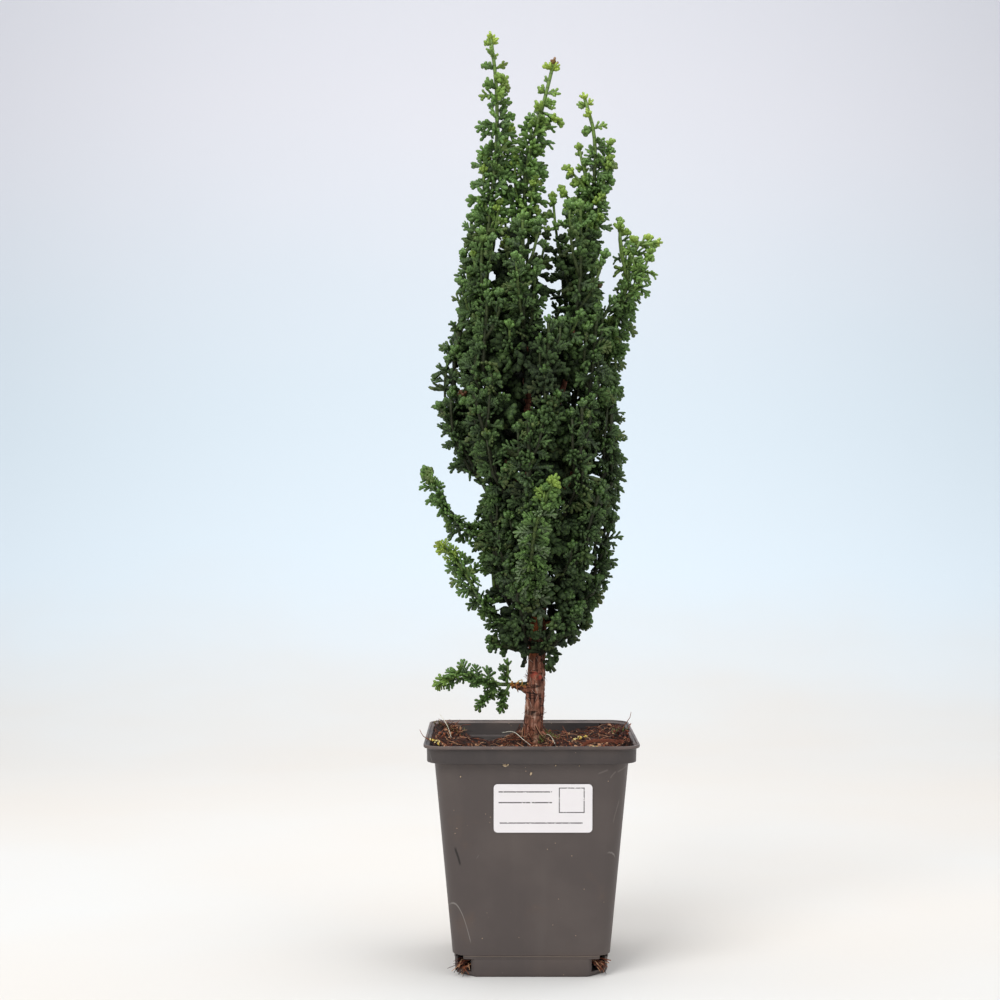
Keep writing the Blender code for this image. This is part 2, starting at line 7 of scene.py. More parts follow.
import math
import random
from dataclasses import dataclass, replace

import bpy
import numpy as np
from mathutils import Matrix, Vector, noise


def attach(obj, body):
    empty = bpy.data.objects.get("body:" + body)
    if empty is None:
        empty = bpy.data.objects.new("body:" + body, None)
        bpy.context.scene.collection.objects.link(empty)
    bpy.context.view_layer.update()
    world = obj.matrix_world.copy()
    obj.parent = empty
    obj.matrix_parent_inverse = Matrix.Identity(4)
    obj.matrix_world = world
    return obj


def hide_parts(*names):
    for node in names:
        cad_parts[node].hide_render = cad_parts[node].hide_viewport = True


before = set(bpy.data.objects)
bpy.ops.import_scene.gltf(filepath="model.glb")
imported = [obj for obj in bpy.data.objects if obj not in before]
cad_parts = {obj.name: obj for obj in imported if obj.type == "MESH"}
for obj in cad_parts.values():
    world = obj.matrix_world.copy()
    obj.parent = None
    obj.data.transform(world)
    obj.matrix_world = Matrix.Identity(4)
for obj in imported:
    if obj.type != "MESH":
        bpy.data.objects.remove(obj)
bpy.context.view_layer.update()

MM = 0.001
GOLDEN_ANGLE = math.radians(137.5)

# Pot
POT_HEIGHT = 120 * MM
WALL = 1.3 * MM
LIP_HALF = 55 * MM
BAND_HALF = 53.2 * MM
BAND_FOOT = 110.6 * MM
BODY_TOP_HALF = 49.5 * MM
BODY_FOOT_HALF = 40.4 * MM
FOOT_HALF = 39.6 * MM
FOOT_FLAT_HALF = 29.5 * MM
FLOOR_TOP = 10.6 * MM
CORNER_RADIUS = 8 * MM
FOOT_LEDGE = 0.4 * MM
FOOT_DRAFT = 0.965  # how much narrower the foot is where it stands
DRAIN_OUT = 34 * MM
DRAIN_RADIUS = 5 * MM
DRAIN_LOW = 2.5 * MM
DRAIN_TALL = 12 * MM
FOOT_LINE = 10.9 * MM  # the pale line where the foot meets the body
# Marks on the pot's front: middle across and up, lean from upright in degrees, half length, half width; mm.
GOUGE = (-37.6, 63, -17, 5.5, 0.8)
SCUFFS = ((36, 106.5, 62, 3.2, 0.5), (41, 105, 40, 2.6, 0.4), (46, 107.6, 66, 3.4, 0.5),
          (43, 86, 14, 7, 0.35))
SHARP = math.radians(32)  # edges that turn more than this are rounded, and shaded as edges
CORNERS = {"back_right": (1, 1), "back_left": (-1, 1), "front_left": (-1, -1), "front_right": (1, -1)}

# Label, and what is printed on it: each rule's middle and half length, measured from the label's centre
LABEL_SIZE = (50 * MM, 25 * MM)
LABEL_CENTRE = (5.7 * MM, 87.8 * MM)
LABEL_THICKNESS = 0.3 * MM
LABEL_CORNER = 2 * MM
LABEL_GAP = 0.3 * MM
RULED_LINES = [(-9 * MM, 8.5 * MM, 13.5 * MM), (-9 * MM, 3 * MM, 13.5 * MM), (-1 * MM, -7.5 * MM, 21 * MM)]
RULE_HALF = 0.28 * MM
BLANK_SQUARE = (14.5 * MM, 4.2 * MM, 6.5 * MM)  # middle and half size
SQUARE_LINE = 0.5 * MM

# Soil
SOIL_MEAN = 114 * MM
SOIL_MOUND = 5 * MM
SOIL_HALF = 51.6 * MM  # above the band's ledge
SOIL_HALF_LOW = 47.9 * MM
LEDGE_HEIGHT = 112 * MM
SOIL_GRID = 104
SOIL_FOOT = 11.2 * MM  # how high the fill's underside is
SOIL_FOOT_HALF = 38.6 * MM
SOIL_CORNER = 9 * MM  # how round its corners are
SOIL_CORNER_LOW = 8 * MM
LITTER_HALF = 49.5 * MM  # how far out loose things lie on the soil

# Wood, in millimetres: the points of each stem's centre line, and radii spread evenly along it.
TRUNK = [(0, 0, 92), (1.2, 0, 118), (2.5, 0, 140), (3.6, 0.5, 162), (4, 1, 190), (3, 2, 218),
         (0.5, 2.5, 250), (-1, 2.5, 285), (-3, 2, 330)]
TRUNK_RADII = (7.5, 5.2, 4.7, 4.5, 3.9, 3.3, 2.7, 2.2, 1.4)
BRANCHES = {
    "left": [(1.8, 2, 228), (-8, -1, 252), (-18, -3, 284), (-22, -3, 320)],
    "right": [(0.6, 2.4, 256), (10, 3, 282), (20, 4, 312), (24, 4, 340)],
    "outer_right": [(2.6, 2.1, 224), (16, 0, 246), (31, -2, 276), (38, -2, 304)],
}
BRANCH_RADII = (2.1, 1.1)
RED_SPOT = 151 * MM  # how high the bark has a red spot
SURFACE_ROOTS = [(20, 17), (95, 15), (160, 19), (215, 14), (285, 18), (330, 15)]  # heading, reach

# Leafy stems that show by themselves, in millimetres: their centre lines.
STEMS = {
    "leader_left": [(-22, -3, 312), (-25, -3, 350), (-22, -2, 390), (-18, -1, 430), (-18, 0, 462),
                    (-20, 0, 481)],
    "leader_middle": [(-3, 2, 322), (-7, 1, 350), (-4, 0, 390), (-1, 0, 425), (6, 1, 450),
                      (10.5, 2, 468)],
    "leader_right": [(24, 4, 330), (27, 4, 356), (32, 2, 392), (34.5, 0, 425), (33, 0, 442),
                     (31, 0, 449)],
    "leader_outer_right": [(37, -2, 298), (43, -2, 326), (50, -1, 352), (53, 0, 371), (58, 0, 380),
                           (64, 0, 380)],
    "spray_low_left": [(0, 0, 146), (-16, -4, 146), (-28, -8, 150), (-37, -9, 152), (-44, -10, 149)],
    "spray_bright_left": [(0, 0, 172), (-17, -5, 180), (-27, -8, 192), (-34, -9, 205), (-41, -9, 214),
                          (-46, -9, 218)],
    "spray_upswept_left": [(0, 0, 212), (-20, -6, 222), (-38, -10, 232), (-46, -11, 243),
                           (-52, -11, 253), (-54, -11, 257)],
    "spray_bright_front": [(3, 0, 186), (2, -22, 196), (0, -36, 212), (2, -41, 230), (8, -41, 246)],
    "spray_tuft_left": [(3, 0, 163), (-8, 0, 164), (-17, -2, 167), (-23, -3, 171)],
    "spray_tuft_right": [(3, 0, 157), (9, -3, 158), (13, -5, 153)],
}

# The crown's outline, in millimetres: height, left, right, and half depth.
CROWN = [(158, -15, 19, 18), (175, -21, 34, 26), (200, -24, 43, 34), (220, -26, 46, 38),
         (246, -28, 53, 42), (262, -41, 53, 43), (285, -54, 52, 43), (312, -54, 50, 41),
         (335, -44, 50, 37), (360, -41, 46, 33), (390, -39, 42, 29)]
# Tiers of stems round the trunk: headings, height on the trunk, then the height of each further point of a
# stem with its share of the way out to the outline.
TIERS = {
    "skirt": ((20, 110, 252, 318), 158, ((162, 0.42), (172, 0.66), (190, 0.84))),
    "lower": ((0, 52, 104, 152, 208, 318), 180, ((190, 0.44), (207, 0.74), (238, 0.88))),
    "middle": ((20, 62, 104, 146, 192, 232, 268, 305, 342), 212, ((226, 0.44), (252, 0.78), (290, 0.88))),
    "upper": ((5, 48, 92, 138, 184, 232, 282, 324), 262, ((276, 0.46), (300, 0.74), (340, 0.86))),
    "top": ((55, 100, 150, 213, 262, 322), 300, ((316, 0.42), (345, 0.68), (388, 0.78))),
}
TIER_LIFT = 7  # of every three stems in a tier one is this much lower and one higher, in millimetres
RING_SPACING = 9 * MM
# Side stems that show by themselves, in millimetres, with the node that each belongs to and its fans' size.
SHOULDERS = {
    "leader_right": [([(33.5, 1, 400), (27, 0, 412), (20, 0, 419)], 0.85),
                     ([(27, 4, 345), (19, 3, 362), (14, 1, 384), (12, 0, 404)], 0.85),
                     ([(30, 3, 372), (24, 2, 386), (21, 1, 401)], 0.85),
                     ([(32, 1, 390), (24, 0, 398), (17, 0, 408)], 0.85),
                     ([(34, 1, 404), (29, 0, 416), (26, 0, 430)], 0.8),
                     ([(33, 1, 400), (39, 0, 412), (42, 0, 424)], 0.8)],
    "leader_outer_right": [([(51, -1, 360), (49, 0, 374), (47, 0, 388)], 0.85)],
    "leader_middle": [([(3, 1, 441), (10, 0, 446), (15, 0, 444)], 0.85),
                      ([(-5, 1, 345), (4, 1, 364), (9, 1, 386)], 0.85)],
    "spray_low_left": [([(-17, -4, 147), (-22, -5, 141), (-27, -6, 135)], 0.5),
                       ([(-11, -4, 146), (-14, -5, 140), (-15.5, -6, 134)], 0.5)],
}
# Hollows in the crown's front where the leaves get painted shade, in millimetres: their middles and half
# sizes, across and up.
HOLLOWS = ((0, 309, 14, 36), (-6, 246, 8, 13))
# Where the sky shows through the crown, in millimetres: left, right, bottom and top.
SKY_GAPS = ((-43, -26, 237, 255), (-18, -9, 181, 192), (-27, -20, 194, 205), (40, 44, 350, 386))


@dataclass
class Habit:
    """How a leafy stem grows, in millimetres and in shares of its length."""

    fan: float = 12  # how large its fans are at most, and at its tip
    tip_fan: float = 6
    step: float = 5  # the space between rounds of fans, and how many are in a round
    round_of: int = 2
    bare: float = 0.12  # the share of it without fans, at its foot
    side_stems: int = 5  # how many there are, how far up the last one leaves, and how far out they stand
    highest: float = 0.78
    apart: float = 1.0
    fresh: tuple = (0.25, 0.05)  # how new its tip and its foot are
    longer: float = 2  # how far it outgrows its plain solid
    flat: float = 0.0  # how far its fans lie in one plane
    opening: float = 0.2  # how fast its fans grow away from its tip
    in_pairs: float = 0  # how far down from its tip they are in pairs wide apart
    browned: bool = False  # whether its tip is brown, its fans are fine, and they have pale streaks of painted highlight
    fine: bool = False
    highlight_streaks: bool = False


LEADER = Habit(fan=12, tip_fan=4.8, step=4.0, round_of=3, bare=0.03, side_stems=6, highest=0.56,
               fresh=(0.9, 0.24), longer=8, opening=0.14, apart=0.8, in_pairs=17)
SINGLE = Habit(fan=9.5, tip_fan=5, step=3.2, round_of=4, side_stems=3, opening=0.3, apart=0.6, flat=0.85)
HABITS = {
    "leader": LEADER,
    "leader_middle": replace(LEADER, browned=True),
    "leader_right": replace(LEADER, fresh=(0.92, 0.08)),
    "leader_outer_right": replace(LEADER, fan=10.5, side_stems=5, highest=0.7, fresh=(0.8, 0.2), longer=3,
                                  flat=0.45, opening=0.3, in_pairs=8, apart=1),
    "spray_low_left": replace(SINGLE, fresh=(0.6, 0.16), fine=True, bare=0.36, longer=5),
    "spray_bright_left": replace(SINGLE, fresh=(0.95, 0.08), fine=True),
    "spray_upswept_left": replace(SINGLE, fan=10, fresh=(0.4, 0.10), apart=0.5),
    "spray_bright_front": replace(SINGLE, fresh=(0.62, 0.14), highlight_streaks=True, flat=0.45, longer=9,
                                  opening=0.16, side_stems=5, round_of=3),
    "spray_tuft": Habit(fan=6.5, tip_fan=5, step=3.2, side_stems=0, longer=0, bare=0.5),
    "skirt": Habit(fan=10, step=4.4, side_stems=4, fresh=(0.12, 0.03)),
    "lower": Habit(fan=11.5, fresh=(0.14, 0.03)),
    "middle": Habit(fresh=(0.18, 0.04)),
    "upper": Habit(fresh=(0.28, 0.06)),
    "top": Habit(fresh=(0.45, 0.12)),
}


def main():
    for obj in bpy.context.selected_objects:
        obj.select_set(False)
    make_pot()
    make_label()
    make_soil()
    make_litter()
    make_wood()
    make_drain_roots()
    make_foliage()
    make_floor()
    make_lights()
    make_camera()


# Materials

class Signal:
    """A value that runs between a material's nodes, with ordinary arithmetic."""

    def __init__(self, paint, socket):
        self.paint = paint
        self.socket = socket

    def __add__(self, other):
        return self.paint.maths("ADD", self, other)

    def __sub__(self, other):
        return self.paint.maths("SUBTRACT", self, other)

    def __rsub__(self, other):
        return self.paint.maths("SUBTRACT", other, self)

    def __mul__(self, other):
        return self.paint.maths("MULTIPLY", self, other)

    def __abs__(self):
        return self.paint.maths("ABSOLUTE", self)

    __radd__ = __add__
    __rmul__ = __mul__


class Paint:
    """One material and its nodes."""

    def __init__(self, name, **constants):
        self.material = bpy.data.materials.new(name)
        self.material.use_nodes = True
        self.tree = self.material.node_tree
        self.shader = self.tree.nodes["Principled BSDF"]
        for socket, value in constants.items():
            self.shader.inputs[socket.replace("_", " ")].default_value = value
        self.place = self.node("ShaderNodeTexCoord", output="Object")

    def node(self, kind, settings=None, values=None, output=0):
        """Adds a node with its settings and socket values, and gives one of its outputs."""
        made = self.tree.nodes.new(kind)
        for name, value in (settings or {}).items():
            setattr(made, name, value)
        for name, value in (values or {}).items():
            self.feed(made.inputs[name], value)
        return Signal(self, made.outputs[output])

    def feed(self, socket, value):
        if isinstance(value, Signal):
            self.tree.links.new(value.socket, socket)
        elif socket.type == "RGBA":
            socket.default_value = (*value, 1)
        else:
            socket.default_value = value

    def maths(self, operation, first, second=0.0):
        return self.node("ShaderNodeMath", {"operation": operation}, {0: first, 1: second})

    def parts(self, vector):
        return [self.node("ShaderNodeSeparateXYZ", None, {0: vector}, axis) for axis in "XYZ"]

    def attribute(self, name):
        return self.parts(self.node("ShaderNodeAttribute", {"attribute_name": name}, output="Vector"))

    def stretched(self, scale):
        """The place, scaled on each axis."""
        return self.node("ShaderNodeVectorMath", {"operation": "MULTIPLY"}, {0: self.place, 1: scale})

    def noise(self, scale, detail=3, where=None):
        values = {"Vector": where or self.place, "Scale": scale, "Detail": detail}
        return self.node("ShaderNodeTexNoise", None, values)

    def cells(self, scale, feature="F1", where=None):
        values = {"Vector": where or self.place, "Scale": scale}
        return self.node("ShaderNodeTexVoronoi", {"feature": feature}, values, "Distance")

    def rise(self, signal, low, high):
        """0 below low and 1 above high, or the other way round where high is the lower."""
        values = {"Value": signal, "From Min": low, "From Max": high}
        return self.node("ShaderNodeMapRange", {"interpolation_type": "SMOOTHSTEP"}, values)

    def mix(self, factor, first, second):
        return self.node("ShaderNodeMix", {"data_type": "RGBA"}, {0: factor, 6: first, 7: second}, 2)

    def layers(self, colour, *coats):
        """The colour under coats of other colours, each laid on by its factor."""
        for factor, tint in coats:
            colour = self.mix(factor, colour, tint)
        return colour

    def stroke(self, x, z, lean, half_length, half_width):
        """A thin mark on the front, round a middle, leaning from upright by some degrees; in millimetres."""
        turn = math.radians(lean)
        place_x, _, place_z = self.parts(self.place)
        off_x, off_z = place_x - x * MM, place_z - z * MM
        waver = (self.noise(150, 2) - 0.5) * 1.6 * MM
        along = abs(off_x * math.sin(turn) + off_z * math.cos(turn))
        across = abs(off_x * math.cos(turn) - off_z * math.sin(turn) + waver)
        inside = self.rise(across, half_width * MM, half_width * 0.4 * MM)
        return inside * self.rise(along, half_length * MM, half_length * 0.6 * MM)

    def shade(self, colour, factor):
        """The colour, made darker by a factor from 0 to 1."""
        return self.mix(factor, (0, 0, 0), colour)

    def finish(self, colour, roughness, height=None, depth=0.1 * MM):
        self.feed(self.shader.inputs["Base Color"], colour)
        self.feed(self.shader.inputs["Roughness"], roughness)
        if height:
            values = {"Height": height, "Distance": depth}
            self.feed(self.shader.inputs["Normal"], self.node("ShaderNodeBump", None, values))
        return self.material


def plastic_paint():
    """Dark moulded plastic, dusty, with brown dirt, pale specks and long fine scratches, and a painted
    highlight along the top of the lip.
    """
    paint = Paint("pot plastic", Specular_IOR_Level=0.28)
    height = paint.parts(paint.place)[2]
    dust = paint.rise(paint.noise(28, 5), 0.42, 0.72)
    streaks = paint.rise(paint.noise(90, 4, paint.stretched((1, 1, 0.12))), 0.50, 0.75)
    dirt = paint.rise(paint.noise(46, 6), 0.60, 0.78)
    body = paint.rise(height, 111 * MM, 109.5 * MM)  # paler below the banded rim
    grime = paint.rise(height, 112 * MM, 121 * MM) * 0.35 + paint.rise(height, 16 * MM, 10 * MM) * 0.25
    specks = paint.rise(paint.cells(330), 0.10, 0.05) * paint.rise(paint.noise(160), 0.56, 0.60)
    wander = paint.noise(14, 2, paint.stretched((1, 1, 0.5)))
    scratch = abs(paint.noise(11, 1, paint.stretched((1.6, 1.6, 0.35))) - wander)
    scratch = paint.rise(scratch, 0.0014, 0.0004) * paint.rise(paint.noise(34), 0.55, 0.62)
    line = paint.rise(abs(height - FOOT_LINE), 0.35 * MM, 0.1 * MM)
    # painted highlight: a paler top edge of the lip, broken up by noise
    lip = paint.rise(height, POT_HEIGHT - 1.7 * MM, POT_HEIGHT - 1.1 * MM)
    lip = lip * paint.rise(paint.noise(40), 0.3, 0.6)
    front = paint.rise(paint.parts(paint.place)[1], -36 * MM, -38 * MM)
    scuffs = [(paint.stroke(*mark) * front * 0.22, (0.30, 0.26, 0.23)) for mark in SCUFFS]
    gouge = paint.stroke(*GOUGE) * front
    colour = paint.mix(dust * 0.6, (0.060, 0.050, 0.048), (0.104, 0.086, 0.078))
    colour = paint.layers(colour, (body * 0.26, (0.182, 0.142, 0.126)), (streaks * 0.14, (0.15, 0.125, 0.11)),
                          (dirt * 0.34 + grime * dust, (0.15, 0.100, 0.074)),
                          (scratch * 0.5, (0.36, 0.33, 0.30)), (line * 0.5, (0.30, 0.23, 0.18)),
                          (specks, (0.46, 0.32, 0.21)), (lip * 0.45, (0.26, 0.19, 0.165)), *scuffs,
                          (gouge * 0.75, (0.010, 0.009, 0.009)))
    grain = paint.noise(1600, 2) * 0.5 + paint.noise(60, 2) * 2 - scratch * 0.4
    return paint.finish(colour, 0.44 + dust * 0.14 + dirt * 0.12, grain, 0.05 * MM)


def paper_paint():
    """An off-white sticker with blank ruled lines and an empty square, and nothing written."""
    paint = Paint("label paper", Specular_IOR_Level=0.5, Coat_Weight=0.12)
    x, _, z = paint.parts(paint.place)
    across, up = x - LABEL_CENTRE[0], z - LABEL_CENTRE[1]

    def box(middle_x, middle_z, half_x, half_z):
        inside_x = paint.rise(abs(across - middle_x), half_x + 0.05 * MM, half_x)
        return inside_x * paint.rise(abs(up - middle_z), half_z + 0.05 * MM, half_z)

    ink = 0.0
    for middle_x, middle_z, half_x in RULED_LINES:
        ink = box(middle_x, middle_z, half_x, RULE_HALF) + ink
    middle_x, middle_z, outer = BLANK_SQUARE
    inner = outer - SQUARE_LINE
    ink = ink + box(middle_x, middle_z, outer, outer) - box(middle_x, middle_z, inner, inner)
    worn = paint.rise(paint.noise(900, 3), 0.30, 0.45)
    tint = paint.noise(60, 4)
    paper = paint.mix(tint, (0.84, 0.79, 0.79), (0.90, 0.86, 0.855))
    colour = paint.mix(ink * worn * 0.92, paper, (0.030, 0.024, 0.024))
    return paint.finish(colour, 0.36 + tint * 0.14, paint.noise(1400, 3), 0.015 * MM)


def peat_paint():
    """Wet peat, red-brown on the crumbs, with painted shade that makes the hollows between them nearly black.
    """
    paint = Paint("peat", Specular_IOR_Level=0.35)
    crumbs = paint.cells(520)
    fibres = paint.rise(paint.noise(520, 4, paint.stretched((1, 0.35, 0.6))), 0.46, 0.68)
    patches = paint.noise(70, 4)
    colour = paint.mix(paint.rise(patches, 0.35, 0.65), (0.014, 0.006, 0.004), (0.060, 0.018, 0.010))
    colour = paint.mix(fibres * 0.6, colour, (0.19, 0.060, 0.028))
    # painted shade: darker away from each crumb's middle, in the hollows between the crumbs
    colour = paint.shade(colour, 1 - paint.rise(crumbs, 0.3, 0.8) * 0.7)
    return paint.finish(colour, 0.78 + patches * 0.2, 1 - crumbs + fibres * 0.6, 0.5 * MM)


def litter_paint():
    """Fibres and crumbs, coloured by the tint that each was given."""
    paint = Paint("coir and crumbs", Specular_IOR_Level=0.35)
    tint = paint.node("ShaderNodeAttribute", {"attribute_name": "tint"}, output="Color")
    mottle = paint.noise(900, 3)
    colour = paint.shade(tint, paint.rise(mottle, 0.1, 0.6) * 0.55 + 0.45)
    return paint.finish(colour, 0.68 + mottle * 0.25, mottle, 0.15 * MM)


def bark_paint():
    """Red-brown bark in strips, with pale torn edges, cracks across it, and stripped orange patches."""
    paint = Paint("bark", Specular_IOR_Level=0.3)
    _, y, z = paint.parts(paint.place)
    strips = paint.noise(620, 5, paint.stretched((1, 1, 0.16)))
    plates = paint.cells(210, "DISTANCE_TO_EDGE", paint.stretched((1, 1, 0.45)))
    cracks = paint.rise(paint.noise(330, 3, paint.stretched((0.30, 0.30, 1.9))), 0.54, 0.64)
    patches = paint.noise(120, 4)
    plates_tone = paint.rise(patches, 0.50, 0.72)
    torn = paint.rise(strips * patches, 0.32, 0.40)
    high = paint.rise(z, 156 * MM, 166 * MM) * paint.rise(z, 205 * MM, 188 * MM)
    stripped = high * paint.rise(paint.noise(85, 3), 0.40, 0.55)
    orange = paint.mix(strips, (0.30, 0.050, 0.016), (0.72, 0.22, 0.055))
    spot = paint.rise(abs(z - RED_SPOT), 3.2 * MM, 1.2 * MM)
    spot = spot * paint.rise(y, -2 * MM, -4 * MM) * paint.rise(paint.noise(300), 0.42, 0.55)
    low = paint.rise(z, 124 * MM, 117 * MM) * paint.rise(patches, 0.35, 0.6)
    colour = paint.mix(paint.rise(strips, 0.34, 0.68), (0.052, 0.014, 0.008), (0.450, 0.180, 0.110))
    colour = paint.layers(colour, (plates_tone * 0.6, (0.44, 0.22, 0.145)), (torn * 0.7, (0.68, 0.49, 0.38)),
                          (stripped * 0.85, orange), (spot * 0.6, (0.55, 0.065, 0.040)),
                          (low * 0.5, (0.045, 0.040, 0.016)))
    colour = paint.shade(colour, 1 - cracks * 0.60 - paint.rise(plates, 0.12, 0.0) * 0.35)
    relief = strips + paint.rise(plates, 0, 0.18) * 0.7 - cracks * 0.6
    return paint.finish(colour, 0.72 + patches * 0.2, relief, 0.35 * MM)


def leaf_paint():
    """Scale leaves in crossed pairs: blue-green where old, yellow-green where new, with painted shade that
    darkens them inside the crown.
    """
    paint = Paint("scale leaves", Specular_IOR_Level=0.42)
    scales, side, height = paint.attribute("scale_place")
    # depth, the growth's third value, is how much painted shade a leaf gets for lying deep in the crown or in
    # one of its hollows
    newness, tone, depth = paint.attribute("growth")
    broad = paint.noise(55, 3)
    on_face = paint.rise(side, 0.65, 0.45)
    joint = paint.maths("FRACT", scales + on_face * 0.5)
    age = abs(tone) * 0.5 + broad * 0.5
    old = paint.mix(age * age, (0.006, 0.024, 0.008), (0.056, 0.134, 0.024))
    fresh = paint.mix(paint.rise(newness, 0.35, 1.0), (0.125, 0.255, 0.048), (0.400, 0.540, 0.060))
    ageing = newness + height * 0.40 + joint * 0.14 + tone * 0.14
    colour = paint.mix(paint.rise(ageing, 0.25, 1.0), old, fresh)
    olive = paint.rise(tone, 0.82, 0.90) * paint.rise(height, 0.35, 0.8)
    dead = paint.rise(tone, 0.992, 0.994)
    # pale streaks along the middle of the fingers' faces, on older parts: painted highlight
    highlight_streaks = paint.rise(tone, -0.1, -0.5) * paint.rise(side, 0.55, 0.2) * paint.rise(newness, 0.6, 0.3)
    # the paler scale tips are partly the scales' own colour and partly painted highlight
    colour = paint.layers(colour, (joint * joint * 0.34, (0.220, 0.310, 0.085)),
                          (olive * 0.5, (0.130, 0.125, 0.036)), (dead * 0.85, (0.24, 0.085, 0.035)),
                          (highlight_streaks * 0.5, (0.34, 0.42, 0.26)))
    # painted shade: darker towards the feet of the fans, where they meet their stems
    colour = paint.shade(colour, paint.rise(height, -0.1, 0.7) * 0.45 + 0.55)
    bark = paint.rise(height, -0.4, -0.6)
    stalk = paint.mix(paint.rise(newness, 0.06, 0.60), (0.030, 0.034, 0.012), (0.150, 0.240, 0.045))
    colour = paint.mix(bark, colour, stalk)
    # painted shade in the grooves between the overlapping scales
    groove_shade = paint.rise(joint, 0.0, 0.3) * 0.5 + 0.5
    # painted shade: depth darkens the leaves and stalks deep in the crown and in its hollows
    colour = paint.shade(colour, groove_shade * (1 - depth * 0.75))
    return paint.finish(colour, 0.43 + broad * 0.18 + depth * 0.30, joint, 0.22 * MM)


def floor_paint():
    """Cream underfoot, and pale blue up the sweep behind."""
    paint = Paint("pale floor", Specular_IOR_Level=0.1)
    height = paint.parts(paint.place)[2]
    cloud = paint.noise(3, 3) * 0.12
    low = paint.mix(paint.rise(height + cloud, 0.0, 0.22), (0.69, 0.64, 0.585), (0.675, 0.75, 0.80))
    return paint.finish(paint.mix(paint.rise(height + cloud, 0.35, 1.0), low, (0.81, 0.80, 0.835)), 0.8)


# Paths

def metres(points):
    """Points that are given in millimetres."""
    return [Vector(p) * MM for p in points]


def smooth_path(points, spacing):
    """A smooth line through the points, cut into steps of about the given length."""
    ends = [2 * points[0] - points[1], *points, 2 * points[-1] - points[-2]]
    line = [points[0]]
    for before, start, stop, after in zip(ends, ends[1:], ends[2:], ends[3:]):
        steps = max(1, round((stop - start).length / spacing))
        for step in range(1, steps + 1):
            t = step / steps
            line.append(0.5 * (2 * start + (stop - before) * t
                               + (2 * before - 5 * start + 4 * stop - after) * t * t
                               + (3 * start - before - 3 * stop + after) * t ** 3))
    return line


def frames(path):
    """At each point of a path, the direction along it and two across it that never turn over."""
    first = (path[1] - path[0]).normalized()
    side = first.cross(Vector((0, 0, 1)))
    if side.length < 0.3:
        side = Vector((1, 0, 0))
    for before, point, after in zip([path[0], *path], path, [*path[1:], path[-1]]):
        along = (after - before).normalized()
        side = (side - along * side.dot(along)).normalized()
        yield point, along, side, side.cross(along)


def spread(values, count):
    """The values, read evenly over count places."""
    places = np.linspace(0, len(values) - 1, count)
    return [float(v) for v in np.interp(places, range(len(values)), values)]


def read_at(height, rows, column_of_heights, columns):
    """Some columns of a table in millimetres, read at a height in metres."""
    heights = [row[column_of_heights] * MM for row in rows]
    return [float(np.interp(height, heights, [row[i] for row in rows])) * MM for i in columns]


def crown_halves(height):
    """The crown's left, right and depth at a height, in metres."""
    return read_at(height, CROWN, 0, (1, 2, 3))


def outline_at(height, heading, share):
    """A point at a share of the way from the crown's middle out to its outline."""
    left, right, depth = crown_halves(height)
    half = right if math.cos(heading) > 0 else -left
    return Vector((half * math.cos(heading) * share, depth * math.sin(heading) * share, height))


def outward_share(point):
    """How far out in the crown a point is, from 0 in the middle to 1 at its outline."""
    left, right, depth = crown_halves(point.z)
    half = right if point.x > 0 else -left
    return math.hypot(point.x / half, point.y / depth)


def on_trunk(height):
    return Vector((*read_at(height, TRUNK, 2, (0, 1)), height))


def leafy_stems():
    """Each leafy stem's name, centre line and habit."""
    for name, points in STEMS.items():
        habit = HABITS.get(name) or HABITS["leader" if name.startswith("leader") else "spray_tuft"]
        yield name, smooth_path(metres(points), RING_SPACING), habit
    for tier, (headings, height, points) in TIERS.items():
        for number, degrees in enumerate(headings):
            heading = math.radians(degrees)
            lift = TIER_LIFT * (number % 3 - 1)
            line = [on_trunk((height + lift) * MM)]
            line += [outline_at((z + lift) * MM, heading, share) for z, share in points]
            if tier == "skirt":
                line = [Vector((p.x, p.y, max(p.z, skirt_height(p.x) + SKIRT_RISE))) for p in line]
            yield f"{tier}_spray_{number + 1}", smooth_path(line, RING_SPACING), HABITS[tier]


# Shapes that are modelled once and copied

class Shape:
    """The points and faces of a modelled object, with where each point lies on its shoot."""

    def __init__(self, points, corners, starts, place):
        self.points, self.corners, self.starts, self.place = points, corners, starts, place

    @classmethod
    def taken_from(cls, obj):
        """Reads an object's mesh, and removes the object."""
        mesh = obj.data
        points = np.empty(len(mesh.vertices) * 3)
        mesh.vertices.foreach_get("co", points)
        corners = np.empty(len(mesh.loops), int)
        mesh.loops.foreach_get("vertex_index", corners)
        starts = np.empty(len(mesh.polygons), int)
        mesh.polygons.foreach_get("loop_start", starts)
        bpy.data.objects.remove(obj)
        points = points.reshape(-1, 3)
        return cls(points, corners, starts, np.zeros_like(points))

    @classmethod
    def joined(cls, shapes):
        points = np.concatenate([s.points for s in shapes])
        place = np.concatenate([s.place for s in shapes])
        corners, starts, first_point, first_corner = [], [], 0, 0
        for shape in shapes:
            corners.append(shape.corners + first_point)
            starts.append(shape.starts + first_corner)
            first_point += len(shape.points)
            first_corner += len(shape.corners)
        return cls(points, np.concatenate(corners), np.concatenate(starts), place)


def opened():
    """The object that was just added, open for editing."""
    bpy.ops.object.mode_set(mode="EDIT")
    return bpy.context.object


def extrude(up):
    bpy.ops.mesh.extrude_region_move(TRANSFORM_OT_translate={"value": (0, 0, up)})


def closed_up():
    """Ends the editing of a closed shape, with all its faces turned outwards."""
    bpy.ops.mesh.select_all(action="SELECT")
    bpy.ops.mesh.normals_make_consistent(inside=False)
    bpy.ops.object.mode_set(mode="OBJECT")


